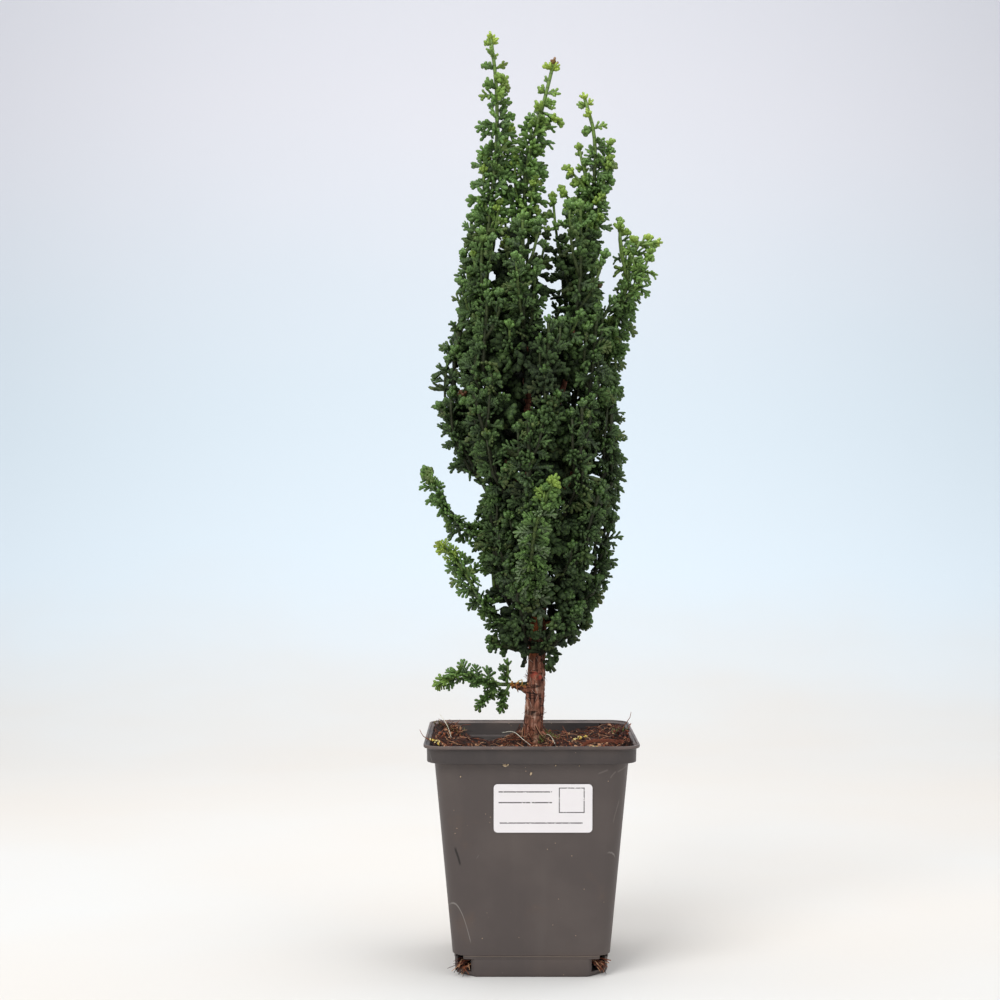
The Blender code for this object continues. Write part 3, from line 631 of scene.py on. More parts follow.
def model_shoot(sides, rings, overlap=0.0):
    """One blunt shoot up Z, one unit long and wide along X. A ring is its height, width and thickness."""
    bpy.ops.mesh.primitive_circle_add(vertices=sides, radius=0.5, fill_type="NGON")
    obj = opened()
    size = Vector((1, 1))
    height = 0
    for ring_height, width, thickness in rings:
        if ring_height > height:
            extrude(ring_height - height)
        bpy.ops.transform.resize(value=(width / size.x, thickness / size.y, 1))
        size = Vector((width, thickness))
        height = ring_height
    extrude(1 - height)
    bpy.ops.mesh.merge(type="COLLAPSE")
    closed_up()
    shoot = Shape.taken_from(obj)
    reach = np.hypot(shoot.points[:, 0], shoot.points[:, 1])
    inner = (shoot.points[:, 2] > 0.05) & (shoot.points[:, 2] < 0.95)
    shoot.points[:, 2] += np.where(inner, overlap * (reach - 0.38), 0)
    return shoot


# Crossed pairs of scale leaves: where the side pair is wide the facing pair is thin.
FINE_RINGS = ((0, 0.60, 0.50), (0.16, 1.0, 0.60), (0.31, 0.70, 0.82), (0.46, 1.02, 0.60), (0.61, 0.70, 0.82),
              (0.76, 1.0, 0.62), (0.93, 0.74, 0.66))
LOBE_RINGS = ((0, 0.66, 0.5), (0.26, 1.0, 0.62), (0.50, 0.72, 0.84), (0.74, 1.02, 0.64), (0.92, 0.70, 0.66))
PLAIN_RINGS = ((0, 0.6, 0.5), (0.75, 1.05, 0.8))
SHOOT_WIDTH = 2.6 * MM
SCALE_LENGTH = 1.35 * MM
SCALE_OVERLAP = 0.30


def laid(shoot, start, along, across, long, wide, length):
    """A copy of a shoot as one finger of a fan. What it notes for each point is how far along its scales it
    lies, how far to the side, and how near the tips of the fan."""
    points = start + shoot.points @ np.stack((across * wide, np.cross(across, along) * wide, along * long))
    scale = shoot.points[:, 2] * long * length / SCALE_LENGTH
    nearness = 0.35 * points[:, 1] + 0.65 * shoot.points[:, 2]
    place = np.stack((scale, np.abs(shoot.points[:, 0]) * 2, nearness), axis=1)
    return Shape(points, shoot.corners, shoot.starts, place)


def fan_of(middle, lobe, draw, pairs, length, width=SHOOT_WIDTH):
    """A flat frond up Y, one unit long, that is to be so many metres long: a middle shoot, and lobes in turn
    at its left and right that lie nearly side by side."""
    width = width / length
    up = np.array((0, 1, 0))
    fingers = [laid(middle, np.zeros(3), up, np.array((1, 0, 0)), 1, width, length)]
    for number in range(2 * pairs):
        share = (number + 0.5) / (2 * pairs)
        hand = 1 if number % 2 else -1
        start = np.array((0, 0.06 + 0.64 * share, draw.uniform(-0.03, 0.03)))
        angle = hand * math.radians(50 - 12 * share + draw.uniform(-8, 8))
        tilt = math.radians(draw.uniform(-30, 30))
        along = np.array((math.sin(angle) * math.cos(tilt), math.cos(angle) * math.cos(tilt), math.sin(tilt)))
        across = np.array((math.cos(angle), -math.sin(angle), 0))
        long = (0.56 - 0.20 * share) * draw.uniform(0.82, 1.18)
        fingers.append(laid(lobe, start, along, across, long, width * draw.uniform(0.80, 0.94), length))
    return Shape.joined(fingers)


def cluster_of(lobe, draw, lobes, length):
    """A knob of blunt lobes round a middle one, one unit long up Y."""
    width = SHOOT_WIDTH / length
    up = np.array((0, 1, 0))
    fingers = []
    for number in range(lobes + 1):
        turn = number * math.tau / lobes + draw.uniform(-0.3, 0.3)
        lean = math.radians(draw.uniform(30, 50)) if number else 0
        along = math.cos(lean) * up + math.sin(lean) * np.array((math.cos(turn), 0, math.sin(turn)))
        across = np.cross(along, (0.31, 0.27, 0.91))
        across /= np.linalg.norm(across)
        start = up * (draw.uniform(0.05, 0.25) if number else 0)
        long = draw.uniform(0.60, 0.80) if number else 0.95
        fingers.append(laid(lobe, start, along, across, long, width * draw.uniform(0.85, 1), length))
    return Shape.joined(fingers)


class Growth:
    """Gathers copies of shapes for one piece, each with its newness, its tone and how much painted shade it
    gets for lying deep in the crown.
    """

    def __init__(self, name):
        self.name = name
        self.shapes, self.spots = {}, {}

    def plant(self, shape, foot, along, normal, length, droop, growth):
        """Plants a copy of a shape that points along, with its face to normal."""
        along = along.normalized()
        side = along.cross(normal).normalized()
        turn = np.array((side, along, side.cross(along)))
        self.shapes[id(shape)] = shape
        self.spots.setdefault(id(shape), []).append((np.array(foot), turn * length, droop, growth))

    def bake(self, extra):
        """One mesh of all that was planted, and of extra shapes that are already in place."""
        parts, growths = [], []
        for key, spots in self.spots.items():
            shape = self.shapes[key]
            droop = np.array([s[2] for s in spots])[:, None]
            points = np.repeat(shape.points[None], len(spots), axis=0)
            points[..., 2] -= droop * shape.points[None, :, 1] ** 2
            turns = np.array([s[1] for s in spots])
            feet = np.array([s[0] for s in spots])
            points = np.einsum("kvi,kij->kvj", points, turns) + feet[:, None]
            number = np.arange(len(spots))[:, None]
            parts.append(Shape(points.reshape(-1, 3),
                               (shape.corners[None] + number * len(shape.points)).ravel(),
                               (shape.starts[None] + number * len(shape.corners)).ravel(),
                               np.tile(shape.place, (len(spots), 1))))
            growths.append(np.repeat(np.array([s[3] for s in spots]), len(shape.points), axis=0))
        for shape, growth in extra:
            parts.append(shape)
            growths.append(growth)
        return mesh_object(self.name, Shape.joined(parts), np.concatenate(growths))


def added(name, data):
    """A new object in the scene."""
    obj = bpy.data.objects.new(name, data)
    bpy.context.scene.collection.objects.link(obj)
    return obj


def mesh_object(name, shape, growth):
    mesh = bpy.data.meshes.new(name)
    mesh.vertices.add(len(shape.points))
    mesh.vertices.foreach_set("co", shape.points.ravel())
    mesh.loops.add(len(shape.corners))
    mesh.loops.foreach_set("vertex_index", shape.corners)
    mesh.polygons.add(len(shape.starts))
    mesh.polygons.foreach_set("loop_start", shape.starts)
    for title, values in (("scale_place", shape.place), ("growth", growth)):
        mesh.attributes.new(title, "FLOAT_VECTOR", "POINT").data.foreach_set("vector", values.ravel())
    mesh.update(calc_edges=True)
    mesh.validate()
    mesh.shade_smooth()
    return added(name, mesh)


def tube_shape(path, radii, sides):
    """A closed round tube along a path, narrowing by its radii."""
    rings = []
    turns = np.arange(sides) / sides * math.tau
    for (point, _, side, up), radius in zip(frames(path), radii):
        rings.append(np.array(point) + radius * (np.outer(np.cos(turns), side) + np.outer(np.sin(turns), up)))
    rings = np.array(rings)
    number = np.arange(len(rings) - 1)[:, None] * sides
    this, following = np.arange(sides), (np.arange(sides) + 1) % sides
    quads = np.stack([number + following, number + this, number + sides + this, number + sides + following],
                     axis=-1).reshape(-1, 4)
    last = (len(rings) - 1) * sides
    corners = np.concatenate((quads.ravel(), this, last + this[::-1]))
    starts = np.concatenate((np.arange(len(quads)) * 4, len(quads) * 4 + np.array((0, sides))))
    return Shape(rings.reshape(-1, 3), corners, starts, np.zeros((rings.size // 3, 3)))


def choose(obj):
    """Makes an object the only one that is selected, and the active one."""
    bpy.ops.object.select_all(action="DESELECT")
    obj.select_set(True)
    bpy.context.view_layer.objects.active = obj


def finished(obj, name, material, *replaced, slot):
    """Names a piece, puts its place into its mesh, and lets it ride on the root in place of CAD nodes."""
    choose(obj)
    bpy.ops.object.transform_apply(location=True, rotation=True, scale=True)
    obj.select_set(False)
    obj.name = obj.data.name = name
    obj.data.materials.clear()
    obj.data.materials.append(material)
    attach(obj, "root")
    if replaced:
        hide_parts(*replaced)


def modified(obj, kind, **settings):
    """Adds a modifier to an object and applies it."""
    bpy.context.view_layer.objects.active = obj
    modifier = obj.modifiers.new("step", kind)
    for name, value in settings.items():
        setattr(modifier, name, value)
    bpy.ops.object.modifier_apply(modifier=modifier.name)


def softened(obj, width):
    """Rounds an object's sharp edges."""
    modified(obj, "BEVEL", width=width, segments=2, limit_method="ANGLE", angle_limit=SHARP)


# Pot and label

def body_half(height):
    share = (height - FLOOR_TOP) / (BAND_FOOT - FLOOR_TOP)
    return BODY_FOOT_HALF + (BODY_TOP_HALF - BODY_FOOT_HALF) * share


def face_with_corners(half, height, corner, segments):
    """Starts a piece: a square face whose corners are rounded, or cut off by one segment."""
    bpy.ops.mesh.primitive_plane_add(size=2 * half, location=(0, 0, height))
    face = opened()
    bpy.ops.mesh.bevel(offset=corner, segments=segments, affect="VERTICES")
    return face


def raise_rings(half, height, rings):
    """Extrudes the selected face through rings of a half width and a height."""
    for next_half, next_height in rings:
        extrude(next_height - height)
        bpy.ops.transform.resize(value=(next_half / half, next_half / half, 1))
        half, height = next_half, next_height


def make_pot():
    pot = face_with_corners(FOOT_HALF, FLOOR_TOP - WALL, CORNER_RADIUS, 9)
    line = FLOOR_TOP + 0.6 * MM
    raise_rings(FOOT_HALF, FLOOR_TOP - WALL, (
        (FOOT_HALF, line), (body_half(line), line + 0.3 * MM), (BODY_TOP_HALF, BAND_FOOT),
        (BAND_HALF, BAND_FOOT + 0.4 * MM), (BAND_HALF + 0.2 * MM, POT_HEIGHT - 2.2 * MM),
        (LIP_HALF, POT_HEIGHT - 1.5 * MM), (LIP_HALF, POT_HEIGHT)))
    bpy.ops.mesh.delete(type="FACE")
    closed_up()
    modified(pot, "SOLIDIFY", thickness=WALL, offset=-1, use_even_offset=True)
    softened(pot, 0.35 * MM)
    foot = foot_block(0, 0, FLOOR_TOP - 0.5 * MM)
    softened(foot, 0.4 * MM)
    cut(pot, foot, "UNION")
    cut(pot, foot_block(WALL + FOOT_LEDGE, WALL, FLOOR_TOP + 1 * MM))
    for out_x, out_y in CORNERS.values():
        middle = (out_x * DRAIN_OUT, out_y * DRAIN_OUT, DRAIN_LOW + DRAIN_TALL / 2)
        bpy.ops.mesh.primitive_cylinder_add(vertices=24, radius=DRAIN_RADIUS, depth=DRAIN_TALL,
                                            location=middle)
        cut(pot, bpy.context.object)
    pot.data.shade_smooth()
    finished(pot, "pot_moulded", plastic_paint(), "pot", slot="pot plastic")
    choose(pot)
    bpy.ops.object.shade_smooth_by_angle(angle=SHARP)
    pot.select_set(False)


def foot_block(inset, bottom, top):
    """The foot, a square with its corners cut off, or the room inside it."""
    side = FOOT_HALF - inset
    corner = side - (FOOT_FLAT_HALF - inset * (math.sqrt(2) - 1))
    foot = face_with_corners(FOOT_DRAFT * side, bottom, FOOT_DRAFT * corner, 1)
    raise_rings(FOOT_DRAFT * side, bottom, ((0.99 * side, bottom + 2 * MM), (0.995 * side, top)))
    closed_up()
    return foot


def cut(obj, cutter, operation="DIFFERENCE"):
    modified(obj, "BOOLEAN", object=cutter, operation=operation, solver="EXACT")
    bpy.data.objects.remove(cutter)


def make_label():
    bpy.ops.mesh.primitive_plane_add(size=1)
    label = opened()
    bpy.ops.transform.resize(value=(*LABEL_SIZE, 1))
    bpy.ops.mesh.bevel(offset=LABEL_CORNER, segments=8, affect="VERTICES")
    extrude(LABEL_THICKNESS)
    bpy.ops.mesh.bevel(offset=0.1 * MM, segments=2, affect="EDGES")
    closed_up()
    slope = math.atan((BODY_TOP_HALF - BODY_FOOT_HALF) / (BAND_FOOT - FLOOR_TOP))
    x, z = LABEL_CENTRE
    label.location = (x, -body_half(z) - LABEL_GAP / math.cos(slope), z)
    label.rotation_euler = (math.pi / 2 + slope, 0, 0)
    finished(label, "label_sticker", paper_paint(), "label", slot="label paper")


# Soil

def soil_height(x, y):
    """The peat's surface: a mound at the trunk, banked up at both sides and low at the back left."""
    u, v = x / BODY_TOP_HALF, y / BODY_TOP_HALF
    mound = SOIL_MOUND * math.exp(-(u * u + v * v) / 0.12)
    banks = 4.5 * MM * u ** 4 + 2.0 * MM * max(0.0, -v) ** 3
    hollow = -6.5 * MM * math.exp(-((u + 0.45) ** 2 / 0.10 + (v - 0.85) ** 2 / 0.30))
    lumps = 0.9 * MM * (math.sin(9.1 * u + 1.3) * math.sin(7.7 * v + 0.4)
                        + 0.8 * math.sin(15.3 * u - 11.9 * v) + 0.6 * math.cos(19.7 * v + 8.3 * u))
    return min(SOIL_MEAN + mound + banks + hollow + lumps, POT_HEIGHT + 1.5 * MM)


def rough_soil_height(x, y):
    """The same surface with its crumbs."""
    rough = 0.9 * MM * noise.noise((x * 420, y * 420, 0.3)) + 0.6 * MM * noise.noise((x * 1100, y * 1100, 7))
    return soil_height(x, y) + rough


def rounded(x, y, half, corner):
    """A point of a square, moved so that the square's corners become round."""
    over_x, over_y = abs(x) - (half - corner), abs(y) - (half - corner)
    if over_x <= 0 or over_y <= 0:
        return x, y
    pull = max(over_x, over_y) / math.hypot(over_x, over_y)
    return (math.copysign(half - corner + over_x * pull, x), math.copysign(half - corner + over_y * pull, y))


def make_soil():
    """A fine grid for the top, with sides that go down inside the pot."""
    bpy.ops.mesh.primitive_grid_add(x_subdivisions=SOIL_GRID, y_subdivisions=SOIL_GRID, size=2 * SOIL_HALF)
    soil = opened()
    bpy.ops.mesh.region_to_loop()
    height, half = 0, SOIL_HALF
    for next_height, next_half in ((-1 * MM, SOIL_HALF_LOW), (SOIL_FOOT - LEDGE_HEIGHT, SOIL_FOOT_HALF)):
        bpy.ops.mesh.extrude_edges_move(TRANSFORM_OT_translate={"value": (0, 0, next_height - height)})
        bpy.ops.transform.resize(value=(next_half / half, next_half / half, 1))
        height, half = next_height, next_half
    bpy.ops.mesh.edge_face_add()
    closed_up()
    for number, vert in enumerate(soil.data.vertices):
        x, y, z = vert.co
        if number < (SOIL_GRID + 1) ** 2:
            x, y = rounded(x, y, SOIL_HALF, SOIL_CORNER)
            top = rough_soil_height(x, y)
            drawn_in = np.interp(top, (LEDGE_HEIGHT - 1.2 * MM, LEDGE_HEIGHT), (SOIL_HALF_LOW / SOIL_HALF, 1))
            vert.co = (x * drawn_in, y * drawn_in, top)
        else:
            half = SOIL_HALF_LOW if z > -2 * MM else SOIL_FOOT_HALF
            low = min(z + LEDGE_HEIGHT, soil_height(x, y) - 1 * MM)
            vert.co = (*rounded(x, y, half, SOIL_CORNER_LOW), low)
    soil.data.shade_smooth()
    finished(soil, "soil_crumbled", peat_paint(), "soil", slot="peat")


class Litter:
    """Gathers small loose things, each with its tint, into one piece."""

    def __init__(self):
        self.shapes, self.tints = [], []

    def add(self, shape, tint):
        self.shapes.append(shape)
        self.tints.append(np.tile((*tint, 1), (len(shape.points), 1)))

    def strand(self, points, radius, tint, sides=4):
        """A thread along a line, thinner at its end."""
        path = smooth_path(points, 2.2 * MM)
        self.add(tube_shape(path, spread((radius, radius, radius * 0.5), len(path)), sides), tint)

    def wisp(self, draw, points, radii, tints, sides=4):
        """A strand with a radius between two, in millimetres, and one of some tints."""
        self.strand(points, draw.uniform(*radii) * MM, draw.choice(tints), sides)

    def lump(self, shape, middle, size, turn, tint):
        self.add(Shape((shape.points * size) @ turn + middle, shape.corners, shape.starts, shape.place), tint)

    def bake(self, name, material, *replaced, slot):
        shape = Shape.joined(self.shapes)
        obj = mesh_object(name, shape, shape.place)
        tint = obj.data.attributes.new("tint", "FLOAT_COLOR", "POINT")
        tint.data.foreach_set("color", np.concatenate(self.tints).ravel())
        finished(obj, name, material, *replaced, slot=slot)


def random_turn(draw):
    angles = [draw.uniform(0, math.tau) for _ in range(3)]
    return np.array(Matrix.Rotation(angles[0], 3, "X") @ Matrix.Rotation(angles[1], 3, "Y")
                    @ Matrix.Rotation(angles[2], 3, "Z"))


def model_crumb(draw):
    """A rough lump about one unit across."""
    bpy.ops.mesh.primitive_ico_sphere_add(subdivisions=1, radius=0.5)
    obj = opened()
    bpy.ops.transform.vertex_random(offset=0.22, seed=draw.randrange(1000))
    bpy.ops.transform.resize(value=(1, 0.8, 0.65))
    bpy.ops.object.mode_set(mode="OBJECT")
    return Shape.taken_from(obj)


COIR_TINTS = ((0.17, 0.044, 0.020), (0.28, 0.085, 0.036), (0.050, 0.014, 0.008), (0.54, 0.29, 0.16),
              (0.022, 0.010, 0.007))
MOSS_TINTS = ((0.085, 0.12, 0.025), (0.16, 0.17, 0.045), (0.21, 0.16, 0.07))
LICHEN_TINTS = ((0.72, 0.50, 0.10), (0.78, 0.66, 0.28))
PALE_ROOT = (0.80, 0.76, 0.62)
# Crumbs stuck to the pot's front, in millimetres: across, up and how large.
STUCK_CRUMBS = ((-13.6, 110, 2.4), (-12.2, 110.2, 1.6), (-0.5, 105.6, 1.9), (39, 112, 1.1), (-36, 104, 0.8),
                (12, 109.8, 0.9), (24, 109.6, 0.8))
STUCK_TINT = (0.62, 0.47, 0.30)
CRUMB_SIZES = (0.9, 1.2, 1.7, 2.6)
CRUMB_COUNT, COIR_COUNT, TRUNK_ROOT_COUNT, CLUMP_COUNT = 620, 950, 26, 170
# Patches on the soil, in millimetres: where, how wide, and how many threads or crumbs.
MOSS_PATCHES = ((9, 2, 5, 60), (-44, 40, 7, 60), (5, -7, 4, 20), (48, 20, 4, 18))
LICHEN_PATCHES = ((-29, -46, 3, 26), (26, 6, 5, 34), (33, -44, 2.5, 10), (-49, -46, 2, 8))
# Roots and fibres on the soil, in millimetres: across, deep, and how high above the soil.
PALE_ROOTS = (([(-49, 38, 6), (-47, 28, 6.5), (-44, 14, 4), (-42, 6, 1.2)], 0.2),
              ([(-15, -4, 4.2), (-9, -10, 4.5), (-4, -16, 2), (1, -24, 0.8)], 0.2),
              ([(8, -4, 2), (10, -9, 4), (12, -16, 1.5), (13, -22, 0.5)], 0.16))
COIR_ARCH = [(24, -42, 0.5), (29, -43, 3.6), (38, -44, 4.4), (46, -44, 2.6), (49, -43, 0.5)]
# Strands that stand up or hang over the lip, in millimetres.
STRAY_STRANDS = (((-47, -38, 119), (-52, -40, 121.5), (-55.2, -41, 123.5), (-57, -42, 127)),
                 ((47, -20, 119), (50, -22, 124), (52, -21, 127.5), (50, -18, 125)),
                 ((48, 12, 118), (51, 11, 123), (53.5, 9, 127), (54, 8, 130)),
                 ((20, -2, 117), (19, -1, 120), (17, 0, 123.5)))


def on_soil(x, y, lift=0.0):
    return Vector((x, y, rough_soil_height(x, y) + lift))


def anywhere(draw):
    return draw.uniform(-LITTER_HALF, LITTER_HALF), draw.uniform(-LITTER_HALF, LITTER_HALF)


def kept_on(value):
    """A place across or along the soil, drawn in to where loose things lie."""
    return max(-LITTER_HALF, min(LITTER_HALF, value))


def past_ledge(x, y, reach):
    """Whether a place is by the pot's wall where the soil lies below the wall's ledge."""
    return soil_height(x, y) < LEDGE_HEIGHT and max(abs(x), abs(y)) > reach


def make_litter():
    """Coir, crumbs, moss, lichen and rootlets that lie on the peat, and the crumbs stuck to the pot."""
    draw = random.Random(8)
    litter = Litter()
    crumbs = [model_crumb(draw) for _ in range(5)]
    for _ in range(CRUMB_COUNT):
        x, y = anywhere(draw)
        if past_ledge(x, y, 45 * MM):
            continue
        size = draw.choice(CRUMB_SIZES) * MM * draw.uniform(0.7, 1.2)
        litter.lump(draw.choice(crumbs), on_soil(x, y, 0.2 * size), size, random_turn(draw),
                    draw.choice(COIR_TINTS))
    lay_coir(litter, draw)
    for x, y, radius, count in MOSS_PATCHES:
        grow_moss(litter, draw, Vector((x, y, 0)) * MM, radius * MM, count)
    for x, y, radius, count in LICHEN_PATCHES:
        for _ in range(count):
            place = on_soil(x * MM + draw.gauss(0, radius * MM / 2), y * MM + draw.gauss(0, radius * MM / 2),
                            0.8 * MM)
            litter.lump(draw.choice(crumbs), place, draw.uniform(0.9, 1.9) * MM, random_turn(draw),
                        draw.choice(LICHEN_TINTS))
    lay_roots(litter, draw)
    pile_clump(litter, draw, crumbs)
    for x, z, size in STUCK_CRUMBS:
        place = Vector((x, -body_half(z * MM) / MM - 0.3, z)) * MM
        litter.lump(draw.choice(crumbs), place, size * MM, random_turn(draw), STUCK_TINT)
    litter.bake("soil_litter", litter_paint(), slot="peat")


def lay_coir(litter, draw):
    """Thin curved fibres over all of the surface, every third of them near the trunk."""
    for number in range(COIR_COUNT):
        if number % 3:
            x, y = anywhere(draw)
        else:
            heading, reach = draw.uniform(0, math.tau), abs(draw.gauss(8, 6)) * MM
            x, y = math.cos(heading) * reach, math.sin(heading) * reach
        if past_ledge(x, y, 44 * MM):
            continue
        heading = draw.uniform(0, math.tau)
        length = draw.uniform(3, 13) * MM
        bow = draw.uniform(-0.35, 0.35) * length
        points = []
        for share in (-0.5, -0.15, 0.2, 0.5):
            along, off = share * length, bow * (0.25 - share * share) * 4
            px = x + math.cos(heading) * along - math.sin(heading) * off
            py = y + math.sin(heading) * along + math.cos(heading) * off
            points.append(on_soil(kept_on(px), kept_on(py), draw.uniform(0.0, 1.3) * MM))
        litter.wisp(draw, points, (0.07, 0.21), COIR_TINTS)


def grow_moss(litter, draw, middle, radius, count):
    """A mossy patch: short leaning threads, green and straw-coloured."""
    for _ in range(count):
        foot = on_soil(middle.x + draw.gauss(0, radius / 2), middle.y + draw.gauss(0, radius / 2), -0.3 * MM)
        tip = foot + Vector((draw.gauss(0, 1.1), draw.gauss(0, 1.1), draw.uniform(1.4, 3.6))) * MM
        bend = foot.lerp(tip, 0.5) + Vector((draw.gauss(0, 0.4), draw.gauss(0, 0.4), 0)) * MM
        litter.wisp(draw, (foot, bend, tip), (0.18, 0.34), MOSS_TINTS, 3)


def lay_roots(litter, draw):
    """Pale roots on the peat, roots round the trunk, the arch of coir, and the stray strands."""
    def on_top(points):
        return [on_soil(x * MM, y * MM, lift * MM) for x, y, lift in points]

    for points, radius in PALE_ROOTS:
        litter.strand(on_top(points), radius * MM, PALE_ROOT)
    for number in range(TRUNK_ROOT_COUNT):
        heading = draw.uniform(math.pi, math.tau) if number % 2 else draw.uniform(0, math.tau)
        reach = draw.uniform(9, 17)
        steps = ((5.6, 5.5), (0.65 * reach, 2.4), (reach, 0.3))
        points = [(math.cos(heading + 0.2 * i) * r, math.sin(heading + 0.2 * i) * r, lift)
                  for i, (r, lift) in enumerate(steps)]
        litter.wisp(draw, on_top(points), (0.12, 0.22), COIR_TINTS[:4])
    for lift in (0, 0.5, 0.9):
        arch = [p + Vector((0, lift * MM, lift * MM)) for p in on_top(COIR_ARCH)]
        litter.strand(arch, 0.3 * MM, COIR_TINTS[0])
    for points in STRAY_STRANDS:
        litter.strand(metres(points), 0.24 * MM, COIR_TINTS[1])


def pile_clump(litter, draw, crumbs):
    """The dark clump of crumbs at the right, and fibres that stand out of it and of the left back corner."""
    middle = Vector((47, -28, 0)) * MM
    for _ in range(CLUMP_COUNT):
        x, y = middle.x + draw.gauss(0, 2.4) * MM, middle.y + draw.gauss(0, 7) * MM
        x = min(x, 50 * MM)
        off = abs(y - middle.y) / (12 * MM)
        lift = draw.uniform(0, max(1.0, 8 * (1 - off))) * MM
        litter.lump(draw.choice(crumbs), on_soil(x, y, lift), draw.uniform(1.2, 2.7) * MM,
                    random_turn(draw), draw.choice((COIR_TINTS[4], COIR_TINTS[2], COIR_TINTS[0])))
    for middle, reach, count in ((middle, (4, 9), 60), (Vector((-43, 38, 0)) * MM, (6, 9), 110)):
        for _ in range(count):
            spot = [c + draw.gauss(0, r / 2) * MM for c, r in zip(middle.xy, reach)]
            foot = on_soil(max(-49 * MM, min(49 * MM, spot[0])), min(49 * MM, spot[1]), 0.5 * MM)
            tip = foot + Vector((draw.gauss(0, 3), draw.gauss(0, 3), draw.uniform(0.5, 4.5))) * MM
            tip.x, tip.y = (max(-50 * MM, min(50 * MM, v)) for v in tip.xy)
            bend = foot.lerp(tip, 0.5) + Vector((draw.gauss(0, 1), draw.gauss(0, 1), 1)) * MM
            litter.wisp(draw, (foot, bend, tip), (0.08, 0.2), COIR_TINTS)


# Wood

STUBS = [  # twigs at the trunk: points in millimetres, and radii
    ([(2.2, 0, 141.5), (-3, -1.5, 143), (-9, -4, 145.5)], (2.4, 1.7, 1.2)),
    ([(3, 0, 178), (9, -3.5, 178.5), (15, -5, 178)], (1.8, 1.5, 1.2)),
    ([(1, 0, 174), (-9, -4, 176.5), (-16.5, -5.5, 180)], (1.5, 1.3, 1.2)),
    ([(4, -1, 165), (8, -4, 168)], (2, 1.5)),
]
WOOD_VOXEL = 0.5 * MM
FLAKE_COUNT, DEAD_COUNT, DRAIN_ROOT_COUNT = 210, 26, 34
FLAKE_TINTS = ((0.42, 0.22, 0.15), (0.30, 0.12, 0.07), (0.20, 0.07, 0.04), (0.55, 0.38, 0.30))
DEAD_TINTS = ((0.68, 0.34, 0.06), (0.50, 0.18, 0.05), (0.36, 0.14, 0.06), (0.62, 0.44, 0.12))


def wood_lines():
    """Each stem, stub and surface root: its line in metres and its radii."""
    branches = [(points, BRANCH_RADII) for points in BRANCHES.values()]
    for points, radii in [(TRUNK, TRUNK_RADII), *branches, *STUBS]:
        yield metres(points), [r * MM for r in radii]
    for degrees, reach in SURFACE_ROOTS:
        heading = math.radians(degrees)
        line = [Vector((2 * MM, 0, 120.5 * MM))]
        for share, bend in ((0.4, 0.15), (0.75, -0.1), (1, 0.1)):
            x, y = (reach * share * MM * f(heading + bend) for f in (math.cos, math.sin))
            line.append(on_soil(x, y, 0.6 * MM * (1 - 2 * share)))
        yield line, [2.6 * MM, 0.8 * MM]


def make_wood():
    """Tubes melted into one skin, with strips and plates of bark raised on it."""
    shapes = []
    for points, radii in wood_lines():
        line = smooth_path(points, 3 * MM)
        shapes.append(tube_shape(line, spread(radii, len(line)), 20))
    shape = Shape.joined(shapes)
    wood = mesh_object("wood", shape, shape.place)
    modified(wood, "REMESH", mode="VOXEL", voxel_size=WOOD_VOXEL)
    modified(wood, "SMOOTH", factor=0.5, iterations=3)
    outwards = [vert.normal.copy() for vert in wood.data.vertices]
    for vert, outward in zip(wood.data.vertices, outwards):
        x, y, z = vert.co / MM
        strips = noise.noise((x * 0.9, y * 0.9, z * 0.14))
        plates = noise.noise((x * 0.5 + 9, y * 0.5, z * 0.30))
        cracks = max(0.0, noise.noise((x * 0.2, y * 0.2 + 5, z * 0.95)) - 0.35)
        thick = 1 if z < 235 else 0.5
        vert.co += outward * thick * (0.38 * strips + 0.45 * plates - 1.1 * cracks) * MM
    wood.data.shade_smooth()
    finished(wood, "wood_with_bark", bark_paint(), "trunk_and_branches", slot="bark")
    make_flakes()


def make_flakes():
    """Pale hairs and curled strips that peel off the trunk, and the dead bits on the stub at its left."""
    draw = random.Random(21)
    flakes = Litter()
    for number in range(FLAKE_COUNT):
        z = draw.uniform(116, 205)
        heading = draw.uniform(0, math.tau)
        out = Vector((math.cos(heading), math.sin(heading), 0))
        radius = float(np.interp(z, [p[2] for p in TRUNK], TRUNK_RADII)) * MM
        foot = on_trunk(z * MM) + out * radius
        length = draw.uniform(1.2, 4.5) * MM
        lean = Vector((-out.y, out.x, 0)) * draw.uniform(-1.6, 1.6) + Vector((0, 0, draw.choice((-1, 1))))
        lean.normalize()
        lift = draw.uniform(0.1, 0.9) if number % 3 else draw.uniform(0.8, 2.2)
        line = (foot - out * 0.2 * MM, foot + lean * length * 0.5 + out * 0.3 * MM,
                foot + lean * length + out * lift * MM)
        flakes.wisp(draw, line, (0.07, 0.17), FLAKE_TINTS)
    for _ in range(DEAD_COUNT):
        share = draw.uniform(0.35, 1.0)
        spot = on_trunk(143 * MM).lerp(Vector((-10, -4.5, 146)) * MM, share)
        ends = [spot + Vector([draw.gauss(0, 1.4) * MM for _ in range(3)]) for _ in range(2)]
        flakes.wisp(draw, (spot, *ends), (0.25, 0.5), DEAD_TINTS)
    flakes.bake("bark_flakes", litter_paint(), slot="bark")


